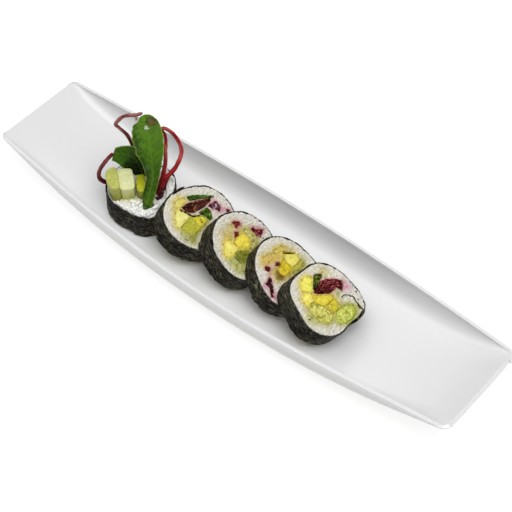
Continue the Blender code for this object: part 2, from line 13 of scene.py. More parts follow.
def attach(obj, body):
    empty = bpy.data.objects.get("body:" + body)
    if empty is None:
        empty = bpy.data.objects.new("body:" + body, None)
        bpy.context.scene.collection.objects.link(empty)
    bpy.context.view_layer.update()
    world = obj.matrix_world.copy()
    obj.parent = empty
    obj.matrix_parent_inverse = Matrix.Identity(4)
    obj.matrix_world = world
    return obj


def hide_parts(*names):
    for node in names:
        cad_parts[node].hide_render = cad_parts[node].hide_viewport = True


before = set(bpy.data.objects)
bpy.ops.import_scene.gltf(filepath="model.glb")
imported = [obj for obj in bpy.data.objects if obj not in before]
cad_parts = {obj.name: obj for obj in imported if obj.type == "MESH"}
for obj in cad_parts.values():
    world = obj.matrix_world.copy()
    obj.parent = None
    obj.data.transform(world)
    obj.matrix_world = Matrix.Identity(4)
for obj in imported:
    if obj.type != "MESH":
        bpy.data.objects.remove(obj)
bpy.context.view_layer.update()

MM = 0.001

# ---------------------------------------------------------------- table, light and camera
# The plate stands alone on a plain white table top, under three big soft lamps, the strongest over its
# right end, with two weak fills so that its coves and outer walls shade off gently. The camera looks down on
# it from the front right corner, through a long lens, held a little off level.
CAMERA_PLACE = (380.8, -385.1, 660.2)
CAMERA_AZIMUTH = 43.687
CAMERA_ELEVATION = 50.275
CAMERA_ROLL = -3.582
CAMERA_LENS = 98.56  # on a sensor 36 mm wide
TABLE_REACH = 6.0  # metres
TABLE_BELOW = 0.0002  # metres, so that the table and the foot ring never share a plane
WALL_GLOW = 0.13
LAMP_SIZE = 1.0  # metres
LAMPS = {  # place in metres and power in watts
    "lamp_overhead": ((0.0, -0.35, 1.6), 7.4),
    "lamp_over_right_end": ((0.8, -0.1, 1.5), 16.4),
    "lamp_over_left_end": ((-0.9, -0.1, 1.4), 3.6),
    "fill_left_back": ((-0.9, 0.9, 1.3), 2.0),
    "fill_right_front": ((0.9, -0.9, 1.2), 1.6),
}


def put(name, data):
    """A new object in the scene."""
    made = bpy.data.objects.new(name, data)
    bpy.context.scene.collection.objects.link(made)
    return made


def add(tree, kind, inputs=None, **settings):
    """A node with its settings made and its inputs set to values, or wired to other nodes' outputs."""
    made = tree.nodes.new(kind)
    for name, value in settings.items():
        setattr(made, name, value)
    for socket, value in (inputs or {}).items():
        if isinstance(value, bpy.types.NodeSocket):
            tree.links.new(value, made.inputs[socket])
        else:
            made.inputs[socket].default_value = value
    return made


def result(tree, kind, inputs=None, **settings):
    """The first output of a new node."""
    return add(tree, kind, inputs, **settings).outputs[0]


def paint(name, roughness, constants=None):
    """A Principled material: its tree, its shader and itself."""
    material = bpy.data.materials.new(name)
    material.use_nodes = True
    shader = material.node_tree.nodes["Principled BSDF"]
    shader.inputs["Roughness"].default_value = roughness
    for socket, value in (constants or {}).items():
        shader.inputs[socket].default_value = value
    return material, material.node_tree, shader


def wire(tree, output, shader, socket):
    tree.links.new(output, shader.inputs[socket])


def make_camera():
    azimuth, elevation, roll = (math.radians(a) for a in (CAMERA_AZIMUTH, CAMERA_ELEVATION, CAMERA_ROLL))
    flat = math.cos(elevation)
    back = Vector((math.sin(azimuth) * flat, -math.cos(azimuth) * flat, math.sin(elevation)))
    level = Vector((0, 0, 1)).cross(back).normalized()
    upward = back.cross(level)
    right = level * math.cos(roll) + upward * math.sin(roll)
    turned = Matrix((right, back.cross(right), back)).transposed().to_4x4()
    camera = put("camera", bpy.data.cameras.new("camera"))
    camera.data.lens = CAMERA_LENS
    camera.matrix_world = Matrix.Translation(Vector(CAMERA_PLACE) * MM) @ turned
    bpy.context.scene.camera = camera


def make_table():
    material = paint("white_table", 0.9, {
        "Base Color": (0.3, 0.3, 0.3, 1), "Specular IOR Level": 0.0, "Emission Color": (1, 1, 1, 1),
        "Emission Strength": 0.8})[0]
    mesh = bpy.data.meshes.new("table")
    corners = [(x * TABLE_REACH, y * TABLE_REACH, 0) for x, y in ((-1, -1), (1, -1), (1, 1), (-1, 1))]
    mesh.from_pydata(corners, [], [(0, 1, 2, 3)])
    mesh.materials.append(material)
    table = put("table", mesh)
    table.location.z = -TABLE_BELOW


def make_light():
    world = bpy.data.worlds.new("pale_walls")
    world.use_nodes = True
    walls = world.node_tree.nodes["Background"]
    walls.inputs["Color"].default_value = (1, 1, 1, 1)
    walls.inputs["Strength"].default_value = WALL_GLOW
    bpy.context.scene.world = world
    for name, (place, power) in LAMPS.items():
        lamp = bpy.data.lights.new(name, "AREA")
        lamp.size = LAMP_SIZE
        lamp.energy = power
        light = put(name, lamp)
        light.location = place
        light.rotation_euler = (-Vector(place)).to_track_quat("-Z", "Y").to_euler()
    bpy.context.scene.view_settings.view_transform = "Standard"


make_camera()
make_table()
make_light()

# ---------------------------------------------------------------- plate
# The dish is slip-cast porcelain: a shallow trough whose floor rises to both ends, with rounded coves along
# its sides and a low foot ring, covered all over in a clear white glaze.
PLATE_LENGTH = 347.0
PLATE_HALF_WIDTH = 44.1
PLATE_END_HALF_WIDTH = 30.8
PLATE_WALL = 3.5
PLATE_RIM_WALL = 2.0
PLATE_CORNER = 4.0
PLATE_LIP = 0.8
PLATE_STATIONS = 121  # along its straight sides
FLOOR_COLUMNS = 25
COVE_COLUMNS = 18
RIM_END_HEIGHT = 28.5
RIM_DIP = 6.3
RIM_SPRING = 2.7
FLOOR_HEIGHT = 6.0
FLOOR_RISE_POWER = 1.7
COVE_WIDTH = 13.0
COVE_POWER = 2.6
FOOT_OUTER = (140.0, 44.0, 12.0)  # length, width and corner radius
FOOT_RING = 4.5
FOOT_HEIGHT = 4.2
PAINTED_SHADE_AT_FOOT = np.array((0.50, 0.50, 0.46))  # brightness of the painted shade outside, by the foot
PAINTED_SHADE_LIFT = 0.30  # how much brighter the painted shade is up at the rim


def end_share(x):
    return min((2 * x / PLATE_LENGTH) ** 2, 1.0)


def rim_half_width(x):
    width = PLATE_HALF_WIDTH + (PLATE_END_HALF_WIDTH - PLATE_HALF_WIDTH) * end_share(x)
    into_corner = max(abs(x) - (PLATE_LENGTH / 2 - PLATE_CORNER), 0.0)
    return width - PLATE_CORNER + math.sqrt(max(PLATE_CORNER**2 - into_corner**2, 0.0))


def rim_height(x):
    share = end_share(x)
    return RIM_END_HEIGHT - RIM_DIP * (1 - share) + RIM_SPRING * share * (1 - share)


def floor_height(x):
    return FLOOR_HEIGHT + (RIM_END_HEIGHT - FLOOR_HEIGHT) * end_share(x) ** FLOOR_RISE_POWER


def inner_half_width(x):
    depth_share = (rim_height(x) - floor_height(x)) / (rim_height(0) - floor_height(0))
    return rim_half_width(x) - PLATE_RIM_WALL * depth_share


def plate_top(x, y):
    into_cove = abs(y) - (inner_half_width(x) - COVE_WIDTH)
    share = min(max(into_cove / COVE_WIDTH, 0.0), 1.0)
    climb = 1 - (1 - share**COVE_POWER) ** (1 / COVE_POWER)
    return floor_height(x) + (rim_height(x) - floor_height(x)) * climb


def grid_faces(rows, columns, around=False):
    """Quads between points stored row by row; around also joins each row's end to its start."""
    return [
        (row * columns + column, row * columns + (column + 1) % columns,
         (row + 1) * columns + (column + 1) % columns, (row + 1) * columns + column)
        for row in range(rows - 1)
        for column in range(columns if around else columns - 1)
    ]


def new_object(name, points, faces, material=None):
    """A smooth-shaded mesh object from points in millimetres."""
    mesh = bpy.data.meshes.new(name)
    mesh.from_pydata([tuple(point) for point in np.asarray(points) * MM], [], faces)
    if material:
        mesh.materials.append(material)
    mesh.shade_smooth()
    return put(name, mesh)


def settle(made):
    """Turn the object with its modifiers into a plain mesh."""
    bpy.context.view_layer.update()
    graph = bpy.context.evaluated_depsgraph_get()
    mesh = bpy.data.meshes.new_from_object(made.evaluated_get(graph))
    made.modifiers.clear()
    made.data = mesh
    return made


def keep(piece, slot, *nodes):
    """Hand a finished piece to the frame, in place of these CAD nodes."""
    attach(piece, "root")
    if nodes:
        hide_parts(*nodes)


def set_tint(piece, tints):
    """Store one linear colour per point, which the piece's material reads."""
    layer = piece.data.color_attributes.new("tint", "FLOAT_COLOR", "POINT")
    rows = np.ones((len(piece.data.vertices), 4))
    rows[:, :3] = tints
    layer.data.foreach_set("color", rows.ravel())


def on_piece(tree):
    """Places on the piece, in metres."""
    return add(tree, "ShaderNodeTexCoord").outputs["Object"]


def cloud(tree, place, scale, detail, **more):
    """Smooth noise over a place, as a share from 0 to 1."""
    return result(tree, "ShaderNodeTexNoise", {"Vector": place, "Scale": scale, "Detail": detail, **more})


def ramp(tree, share, *stops):
    """Colours along a share, each stop a position and a linear colour."""
    made = add(tree, "ShaderNodeValToRGB", {"Fac": share})
    elements = made.color_ramp.elements
    for position, colour in stops[1:-1]:
        elements.new(position).color = (*colour, 1)
    for element, (position, colour) in ((elements[0], stops[0]), (elements[-1], stops[-1])):
        element.position = position
        element.color = (*colour, 1)
    return made.outputs["Color"]


def times(tree, one, other):
    """Two colours or vectors multiplied part by part."""
    return result(tree, "ShaderNodeVectorMath", {0: one, 1: other}, operation="MULTIPLY")


def rough_up(tree, shader, height, strength, distance):
    """Bump a shader by a height of this distance in metres."""
    bump = result(tree, "ShaderNodeBump", {"Height": height, "Strength": strength, "Distance": distance})
    wire(tree, bump, shader, "Normal")


def porcelain():
    material, tree, shader = paint("clear_white_glaze", 0.22, {
        "Base Color": (0.80, 0.80, 0.80, 1), "Specular IOR Level": 0.45, "Coat Weight": 0.35,
        "Coat Roughness": 0.08})
    place = on_piece(tree)
    rough_up(tree, shader, cloud(tree, place, 45.0, 2.0), strength=0.12, distance=0.002)
    shade = ramp(tree, cloud(tree, place, 14.0, 3.0), (0, (0.795, 0.80, 0.81)), (1, (0.83, 0.83, 0.825)))
    tint = add(tree, "ShaderNodeAttribute", attribute_name="tint").outputs["Vector"]
    wire(tree, times(tree, shade, tint), shader, "Base Color")
    return material


def rounded_rectangle(length, width, radius, steps=10):
    outline = []
    for side_x, side_y, start in ((1, 1, 0), (-1, 1, 90), (-1, -1, 180), (1, -1, 270)):
        for step in range(steps + 1):
            turn = math.radians(start + 90 * step / steps)
            outline.append((side_x * (length / 2 - radius) + radius * math.cos(turn),
                            side_y * (width / 2 - radius) + radius * math.sin(turn)))
    return outline


def make_foot(material):
    """The ring is one wall between two rounded rectangles, closed at top and bottom."""
    length, width, radius = FOOT_OUTER
    outer = rounded_rectangle(length, width, radius)
    inner = rounded_rectangle(length - 2 * FOOT_RING, width - 2 * FOOT_RING, radius - FOOT_RING)
    rings = [(inner, 0.0), (inner, FOOT_HEIGHT), (outer, FOOT_HEIGHT), (outer, 0.0), (inner, 0.0)]
    points = [(x, y, z) for outline, z in rings for x, y in outline]
    foot = new_object("foot", points, grid_faces(len(rings), len(outer), around=True), material)
    shape = bmesh.new()
    shape.from_mesh(foot.data)
    bmesh.ops.remove_doubles(shape, verts=shape.verts, dist=1e-7)
    bmesh.ops.recalc_face_normals(shape, faces=shape.faces)
    shape.to_mesh(foot.data)
    shape.free()
    return foot


def make_plate():
    material = porcelain()
    straight = PLATE_LENGTH / 2 - PLATE_CORNER
    corner = [straight + PLATE_CORNER * math.sin(math.radians(turn)) for turn in (15, 30, 45, 60, 75, 90)]
    sides = np.linspace(-straight, straight, PLATE_STATIONS)
    stations = [*(-x for x in reversed(corner)), *sides, *corner]
    turns = np.linspace(0, math.pi / 2, COVE_COLUMNS + 1)[1:]
    cove = [math.sin(turn) ** (2 / COVE_POWER) for turn in turns]
    floor = np.linspace(-1, 1, FLOOR_COLUMNS)
    across = [*(-1 - share for share in reversed(cove)), *floor, *(1 + share for share in cove)]
    points, thinned = [], []
    for x in stations:
        floor_half = inner_half_width(x) - COVE_WIDTH
        for place in across:
            reach = min(abs(place), 1.0) * floor_half + max(abs(place) - 1, 0.0) * COVE_WIDTH
            y = math.copysign(reach, place)
            points.append((x, y, plate_top(x, y)))
            climb = (plate_top(x, y) - floor_height(x)) / max(rim_height(x) - floor_height(x), 1e-6)
            thinned.append(1 - min(climb, 1.0) * (1 - PLATE_RIM_WALL / PLATE_WALL))
    faces = [face[::-1] for face in grid_faces(len(stations), len(across))]
    plate = new_object("porcelain_plate", points, faces, material)
    walls = plate.vertex_groups.new(name="wall")
    for index, share in enumerate(thinned):
        walls.add([index], share, "REPLACE")
    wall = plate.modifiers.new("Wall", "SOLIDIFY")
    wall.vertex_group = walls.name
    wall.thickness = PLATE_WALL * MM
    wall.offset = -1
    wall.use_even_offset = True
    lip = plate.modifiers.new("Lip", "BEVEL")
    lip.width = PLATE_LIP * MM
    lip.segments = 4
    lip.limit_method = "ANGLE"
    lip.angle_limit = math.radians(50)
    foot = make_foot(material)
    ring = plate.modifiers.new("Foot", "BOOLEAN")
    ring.operation = "UNION"
    ring.object = foot
    settle(plate)
    bpy.data.objects.remove(foot)
    plate.data.set_sharp_from_angle(angle=math.radians(60))
    tints = []
    for vertex in plate.data.vertices:  # the outside is painted greyer as shade, the more so towards the foot
        outside = min(max((0.12 - vertex.normal.z) * 4, 0), 1)
        height = min(vertex.co.z / MM / rim_height(vertex.co.x / MM), 1)
        tints.append(1 - outside * (1 - PAINTED_SHADE_AT_FOOT - PAINTED_SHADE_LIFT * height))
    set_tint(plate, tints)
    keep(plate, "porcelain", "plate")


make_plate()

# ---------------------------------------------------------------- nori
# Each slice is wrapped in one toasted seaweed sheet, rolled tight and cut through with the rice, so that it
# has gone moist: near black with olive and brown in it, finely wrinkled, its outer end lapped over.
NORI = 0.45
NORI_ROOM = 0.6  # what the rolled sheet takes up
GAP = 0.3
LAP = NORI_ROOM + GAP
LAP_ANGLE = 20.0
LAP_REST = 6.0  # degrees past the lap before the sheet starts to come in
LAP_BLEND = 40.0
SHEET_ROWS = 44
SHEET_STEPS = 300
SHEET_SUNK = 0.32  # its rim lies this far below the rice at the cut
TAIL_RISE = 0.87  # its tucked end stands this much higher
CREASE_LENGTH = 7.5
CREASES_PER_MM = 0.85
CREASE_LIMITS = (-0.42, 0.26)  # how deep and how high
CHART_SCALE = 0.1  # of the sheet's own map, per millimetre


def lap_depth(travelled):
    """How far in the sheet lies, this many degrees from its outer end."""
    share = np.clip((travelled - LAP_ANGLE - LAP_REST) / (LAP_BLEND - LAP_REST), 0, 1)
    return LAP * (1 - share * share * (3 - 2 * share))


@dataclass
class Slice:
    """One slice. Local +Z is the cut face's direction, +X runs down the slope and +Y across the plate."""

    name: str
    x: float  # world place of its middle
    y: float
    turn: float  # degrees about the world's Z
    lean: float  # degrees down its own slope
    thickness: float
    radius: float
    seam: float  # degrees round the slice, where the sheet's outer end starts to lap
    lobes: tuple  # each one's number round the slice, its share of the radius and where it peaks
    tail: tuple = ()  # the sheet's inner end, where it is tucked into the filling

    def outer_radius(self, angle):
        return self.radius * (1 + sum(
            share * np.cos(np.radians(number * (angle - peak))) for number, share, peak in self.lobes))

    def sheet_point(self, travelled):
        angle = self.seam + LAP_ANGLE - travelled
        radius = self.outer_radius(angle) - lap_depth(travelled) - NORI_ROOM / 2
        return np.array((np.cos(np.radians(angle)), np.sin(np.radians(angle)))) * radius

    def rice_radius(self, angle):
        """Outside of the rice at local angles in degrees, under the sheet."""
        travelled = (self.seam + LAP_ANGLE - angle) % 360
        return self.outer_radius(angle) - lap_depth(travelled) - NORI_ROOM - GAP

    def place(self):
        """The slice's matrix in millimetres, its height read from the cut face of its rice."""
        turned = Euler((0, math.radians(self.lean), math.radians(self.turn))).to_matrix()
        normal = turned.col[2]
        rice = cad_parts[self.name + "_rice"].data
        reach = max(normal.dot(vertex.co) for vertex in rice.vertices) / MM
        height = (reach - normal.x * self.x - normal.y * self.y) / normal.z
        return Matrix.Translation((self.x, self.y, height)) @ turned.to_4x4()


SLICES = [
    Slice("roll_1", -73.4, -7.4, 10, 5, 17.5, 22.3, -70, ((2, 0.046, 139), (3, 0.045, 75), (4, 0.026, 54))),
    Slice("roll_2", -25.6, -5.9, 12, 28, 16.8, 22.8, 150, ((2, 0.038, 54), (3, 0.015, 91))),
    Slice("roll_3", 9.4, -6.0, 11, 34, 17.0, 21.5, 205, ((2, 0.021, 159), (3, 0.024, 66), (4, 0.010, 120))),
    Slice("roll_4", 42.5, -4.9, 9, 29, 14.3, 22.1, 250, ((2, 0.060, 167), (3, 0.040, 150))),
    Slice("roll_5", 72.8, -6.8, 7, 32, 16.6, 22.0, 6,
          ((1, 0.043, 304), (2, 0.038, 24), (3, 0.031, 46), (4, 0.052, 33), (6, 0.018, 30)),
          tail=((6.2, 6.6), (7.2, 9.8), (11.2, 12.2), (15.0, 11.4))),
]


def moved(points, matrix):
    """Points in millimetres taken through a matrix in millimetres."""
    turned = np.array(matrix)
    return np.asarray(points, float) @ turned[:3, :3].T + turned[:3, 3]


def smooth_path(points, steps):
    """Points on a Catmull-Rom curve through the given ones, with this many steps per stretch."""
    knots = np.array(points, float)
    knots = np.vstack([2 * knots[0] - knots[1], knots, 2 * knots[-1] - knots[-2]])
    path = []
    for before, start, stop, after in zip(knots, knots[1:], knots[2:], knots[3:]):
        for t in np.arange(steps) / steps:
            path.append((2 * start + (stop - before) * t + (2 * before - 5 * start + 4 * stop - after) * t**2
                         + (3 * start - before - 3 * stop + after) * t**3) / 2)
    return np.array([*path, knots[-2]])


def course(path):
    """How far along a path each of its points lies, and the way ahead from each."""
    travelled = np.concatenate([[0], np.cumsum(np.linalg.norm(np.diff(path, axis=0), axis=1))])
    ahead = np.gradient(path, axis=0)
    return travelled, ahead / np.linalg.norm(ahead, axis=1)[:, None]


def lumps(points, size, seed, depth=1.0, octaves=3):
    """Smooth noise of about -depth to depth at each point in millimetres, over lumps of this size."""
    shift = Vector((seed * 17.3, seed * 5.1, seed * 9.7))
    heights = [noise.fractal(Vector(point) / size + shift, 1.0, 2.0, octaves) for point in points]
    return depth * np.array(heights)


def thicken(piece, thickness):
    """Give an open surface this many millimetres, half to each side."""
    wall = piece.modifiers.new("Thickness", "SOLIDIFY")
    wall.thickness = thickness * MM
    wall.offset = 0


def seaweed():
    material, tree, shader = paint("toasted_seaweed", 0.5, {"Specular IOR Level": 0.15})
    place = on_piece(tree)
    layout = result(tree, "ShaderNodeUVMap", uv_map="sheet")
    stretched = result(tree, "ShaderNodeMapping", {"Vector": layout, "Scale": (2.3, 8.5, 1.0)})
    streaks = cloud(tree, stretched, 1.5, 3.0, Roughness=0.6, Distortion=1.1)
    # The lightest streaks are partly the sheet's own olive streaks and partly painted highlights of its wet
    # gloss.
    streaks_and_glints = ramp(tree, streaks, (0.44, (0.002, 0.002, 0.002)), (0.51, (0.008, 0.007, 0.006)),
                 (0.56, (0.06, 0.055, 0.034)), (0.62, (0.20, 0.19, 0.14)))
    blots = cloud(tree, place, 90.0, 5.0, Roughness=0.6)
    hue = ramp(tree, blots, (0.36, (0.62, 0.56, 0.66)), (0.66, (1.3, 1.28, 0.92)))
    wire(tree, times(tree, streaks_and_glints, hue), shader, "Base Color")
    grain = cloud(tree, place, 1100.0, 3.0)
    height = result(tree, "ShaderNodeMath", {0: grain, 1: 0.3, 2: streaks}, operation="MULTIPLY_ADD")
    rough_up(tree, shader, height, strength=0.9, distance=0.0006)
    return material


def make_sheet(cut, material):
    """The sheet as a strip wound round the rice, wrinkled along its winding, then given its thickness."""
    path = np.array([cut.sheet_point(turned) for turned in np.linspace(0, 360 + LAP_ANGLE, SHEET_STEPS)])
    if cut.tail:
        path = np.vstack([smooth_path([*cut.tail, path[0]], 12)[:-1], path])
    travelled, ahead = course(path)
    side = np.stack([ahead[:, 1], -ahead[:, 0]], 1)
    tucked = np.arange(len(path)) < len(path) - SHEET_STEPS
    stuck = np.clip((travelled[-1] - travelled) / 5, 0.1, 1)  # the lap lies flat on the turn below
    seed = cut.seam + 3.0
    points, layout = [], []
    for row, share in enumerate(np.linspace(0, 1, SHEET_ROWS)):
        edge = lumps([(t, 0, share) for t in travelled], 2.6, seed, 0.3)
        depth = np.full(len(path), -cut.thickness * (1 - share))
        if row == 0:
            depth += edge
        if row == SHEET_ROWS - 1:
            depth += edge - SHEET_SUNK + TAIL_RISE * tucked
        sway = lumps([(t, height, seed + 6) for t, height in zip(travelled, depth)], 7.0, seed, 1.6)
        crossed = depth + sway
        places = [(t / CREASE_LENGTH, z * CREASES_PER_MM, seed) for t, z in zip(travelled, crossed)]
        creases = np.clip(lumps(places, 1.0, seed, 0.5, 4), *CREASE_LIMITS)
        points.append(np.column_stack([path + side * (creases * stuck)[:, None], depth]))
        layout.append(np.column_stack([travelled, crossed]) * CHART_SCALE)
    layout = np.vstack(layout)
    faces = grid_faces(SHEET_ROWS, len(path))
    piece = new_object(cut.name + "_seaweed", moved(np.vstack(points), cut.place()), faces, material)
    chart = piece.data.uv_layers.new(name="sheet")
    for loop in piece.data.loops:
        chart.data[loop.index].uv = layout[loop.vertex_index]
    thicken(piece, NORI)
    settle(piece)
    keep(piece, "nori", cut.name + "_nori")


NORI_FINISH = seaweed()
for cut in SLICES:
    make_sheet(cut, NORI_FINISH)

# ---------------------------------------------------------------- soft fillings
# Ripe mango, avocado and cucumber, cut in sticks as long as the roll. They are laid side by side on the
# rice, and come out squeezed out of square, smeared by the knife and a little proud of the cut.
FRUIT_VOXEL = 0.34
SQUEEZE = 0.16  # how far a stick swells past its own outline
ROOM_SHARE = 0.46  # how much of the gap to its neighbours it takes at most
TIGHT_GAP = 0.5  # room under which a stick swells evenly up to its neighbours,
TIGHT_SWELL = 0.3  # by this much at most
EDGE_BAND = 0.9  # how far in from its outline a stick keeps its edge colour


def linear(colour):
    """A colour given as 0 to 255 in sRGB, as Blender's linear values."""
    share = np.asarray(colour, float) / 255
    return np.where(share <= 0.04045, share / 12.92, ((share + 0.055) / 1.055) ** 2.4)


def blend(colours, other, share):
    """Linear colours, one per point, mixed towards another one by a share per point."""
    share = np.clip(share, 0, 1)[:, None]
    return colours * (1 - share) + linear(other) * share


def one_tint(colour, count):
    """A colour given as 0 to 255 in sRGB, for this many points."""
    return np.broadcast_to(linear(colour), (count, 3))


def cad_shape(node, cut, squeeze=0.0):
    """A CAD node, merged, in the slice's own frame, its cut faces pulled in by squeeze millimetres."""
    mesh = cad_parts[node].data.copy()
    mesh.transform(Matrix.Scale(1 / MM, 4))
    mesh.transform(cut.place().inverted())
    shape = bmesh.new()
    shape.from_mesh(mesh)
    bmesh.ops.remove_doubles(shape, verts=shape.verts, dist=1e-3)
    middle = -cut.thickness / 2
    for vertex in shape.verts:
        vertex.co.z = middle + (vertex.co.z - middle) * (1 - 2 * squeeze / cut.thickness)
    shape.to_mesh(mesh)
    shape.free()
    mesh.transform(Matrix.Scale(MM, 4))
    return mesh


def fine_shape(node, cut, voxel, rounding=0, squeeze=0.0):
    """A CAD node in small even faces: its points in the slice's own millimetres, normals and faces."""
    made = put(node + "_fine", cad_shape(node, cut, squeeze))
    even = made.modifiers.new("Even", "REMESH")
    even.mode = "VOXEL"
    even.voxel_size = voxel * MM
    if rounding:
        soft = made.modifiers.new("Rounding", "SMOOTH")
        soft.iterations = rounding
        soft.factor = 0.5
    settle(made)
    points, normals = np.empty(len(made.data.vertices) * 3), np.empty(len(made.data.vertices) * 3)
    made.data.vertices.foreach_get("co", points)
    made.data.vertex_normals.foreach_get("vector", normals)
    faces = [tuple(face.vertices) for face in made.data.polygons]
    bpy.data.objects.remove(made)
    return points.reshape(-1, 3) / MM, normals.reshape(-1, 3), faces


def outline_of(node, cut):
    """The edges round a filling's cut face, as pairs of points in the slice's own millimetres."""
    shape = bmesh.new()
    shape.from_mesh(cad_shape(node, cut))
    shape.normal_update()
    rim = []
    for edge in shape.edges:
        ups = [face.normal.z > 0.9 for face in edge.link_faces]
        if len(ups) == 2 and ups[0] != ups[1]:
            rim.append([vertex.co[:2] for vertex in edge.verts])
    shape.free()
    return np.array(rim) / MM


def fillings_of(cut):
    """The name after the slice's own, and the outline, of each filling."""
    nodes = [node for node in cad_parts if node.startswith(cut.name + "_")]
    short = [node[len(cut.name) + 1:] for node in nodes]
    return {name: outline_of(node, cut) for name, node in zip(short, nodes) if name not in ("rice", "nori")}


def edge_distance(points, rim):
    """How far each point lies outside an outline, in millimetres; inside it is below zero."""
    start, along = rim[:, 0], rim[:, 1] - rim[:, 0]
    offset = points[:, None, :2] - start[None]
    share = np.clip((offset * along).sum(axis=2) / (along**2).sum(axis=1), 0, 1)
    apart = np.sqrt(((offset - share[..., None] * along) ** 2).sum(axis=2)).min(axis=1)
    above = (start[:, 1] > points[:, None, 1]) != (rim[:, 1, 1] > points[:, None, 1])
    rise = np.where(np.abs(along[:, 1]) < 1e-9, 1e-9, along[:, 1])
    crossing = start[:, 0] + (points[:, None, 1] - start[:, 1]) / rise * along[:, 0]
    inside = (above & (points[:, None, 0] < crossing)).sum(axis=1) % 2 == 1
    return np.where(inside, -apart, apart)


def tinted(name, roughness, constants, patch, shades, bump_size, bump_depth):
    """A material in the piece's own tint, its brightness drifting between two shades over patches.

    The patches and bumps are in millimetres.
    """
    material, tree, shader = paint(name, roughness, constants)
    place = on_piece(tree)
    tint = add(tree, "ShaderNodeAttribute", attribute_name="tint").outputs["Vector"]
    shade = result(tree, "ShaderNodeMapRange", {
        "Value": cloud(tree, place, 1000.0 / patch, 4.0), "From Min": 0.3, "From Max": 0.7,
        "To Min": shades[0], "To Max": shades[1]})
    coloured = result(tree, "ShaderNodeVectorMath", {0: tint, "Scale": shade}, operation="SCALE")
    wire(tree, coloured, shader, "Base Color")
    bumps = cloud(tree, place, 1000.0 / bump_size, 3.0)
    rough_up(tree, shader, bumps, strength=0.6, distance=bump_depth * MM)
    return material


@dataclass
class Flesh:
    """How a soft filling looks at its cut: colours as 0 to 255 in sRGB, sizes in millimetres."""

    middle: tuple
    edge: tuple
    fleck: tuple
    lump: float = 2.6  # how wide its lumps are
    depth: float = 0.28  # and how high
    pitch: float = 1.2  # between fibres or ridges
    ridge: float = 0.08  # their depth
    turn: float = 0.0  # the way that they run across the cut
    rind: tuple = ()  # a darker outer side: its direction, its reach and its colour
    wedge: float = 0.35  # how far lumps push the sides out of square
    tip: tuple = ()  # how its proud top is moved across the slice and raised, and how much it spreads
    wall: tuple = ()  # the colour of painted shade on its proud sides and low down on it
    grain: float = 0.06  # how strongly its colour is speckled
    spots: float = 1.2  # how strongly it is blotched
    crown: float = 0.3  # how far its middle stands over its edge


PLATTERS = {
    "roll_1": {
        "cucumber": Flesh((200, 202, 112), (196, 200, 112), (154, 158, 54), depth=0.3, pitch=1.0, ridge=0.3,
                          turn=60, wedge=0.25, tip=(-1.1, -0.3, 0.4, 0.12), wall=(160, 162, 44)),
        "avocado": Flesh((228, 230, 176), (226, 230, 172), (210, 216, 146), depth=0.12, ridge=0.03,
                         wedge=0.12, tip=(-0.5, -0.2, 1.6, 0.1), wall=(192, 194, 88)),
        "mango": Flesh((178, 182, 30), (186, 188, 56), (128, 136, 6), depth=0.2, wedge=0.2,
                       tip=(0.3, -0.4, 1.0, 0.1), wall=(122, 128, 4))},
    "roll_2": {
        "mango_1": Flesh((230, 218, 122), (220, 206, 110), (190, 174, 84), ridge=0.04),
        "mango_2": Flesh((242, 236, 152), (234, 222, 116), (206, 194, 96), ridge=0.04),
        "avocado": Flesh((190, 188, 62), (176, 172, 52), (112, 112, 20), depth=0.4, pitch=1.5, ridge=0.2,
                         turn=-24, rind=(80, 0.05, (228, 214, 62))),
        "avocado_end": Flesh((158, 160, 74), (150, 152, 66), (106, 108, 34), pitch=1.3, ridge=0.24)},
    "roll_3": {
        "mango_1": Flesh((246, 230, 86), (228, 206, 70), (186, 168, 36)),
        "mango_2": Flesh((246, 234, 128), (238, 218, 96), (212, 194, 66), ridge=0.05),
        "avocado_1": Flesh((218, 210, 142), (190, 180, 92), (136, 128, 56), pitch=1.1, ridge=0.26, turn=20,
                           grain=0.24, spots=2.4, crown=0.0),
        "avocado_2": Flesh((128, 132, 34), (142, 144, 46), (60, 66, 8), depth=0.45, pitch=1.4, ridge=0.18,
                           turn=-20, rind=(-10, 0.3, (170, 176, 80))),
        "avocado_3": Flesh((196, 196, 116), (192, 192, 118), (140, 142, 66), pitch=1.3, ridge=0.24,
                           crown=0.0)},
    "roll_4": {
        "mango_1": Flesh((212, 180, 92), (222, 198, 110), (176, 132, 50), pitch=1.5, ridge=0.22, turn=70),
        "mango_2": Flesh((246, 232, 120), (226, 212, 92), (186, 176, 66), ridge=0.05),
        "mango_3": Flesh((220, 196, 36), (214, 190, 42), (156, 138, 18), depth=0.35),
        "mango_4": Flesh((112, 88, 14), (140, 112, 34), (70, 50, 2), depth=0.4),
        "mango_5": Flesh((224, 206, 112), (212, 190, 90), (178, 156, 50), pitch=1.3, ridge=0.24, turn=-30),
        "avocado": Flesh((196, 190, 88), (176, 170, 66), (112, 112, 34), depth=0.35)},
    "roll_5": {
        "mango_1": Flesh((246, 240, 108), (232, 220, 92), (204, 190, 60)),
        "mango_2": Flesh((246, 234, 122), (236, 218, 92), (208, 192, 62), ridge=0.05),
        "mango_3": Flesh((234, 218, 76), (216, 196, 60), (178, 160, 30)),
        "mango_4": Flesh((220, 206, 60), (208, 190, 52), (172, 156, 30)),
        "avocado_1": Flesh((214, 210, 110), (192, 188, 84), (150, 148, 46), lump=1.4, depth=0.45, ridge=0.12,
                           grain=0.24, spots=2.4, crown=0.0),
        "avocado_2": Flesh((214, 218, 108), (180, 188, 74), (148, 160, 50), depth=0.4, pitch=1.9, ridge=0.14,
                           turn=75, rind=(0, 0.3, (116, 148, 34)), grain=0.26, spots=2.0, crown=0.0)},
}


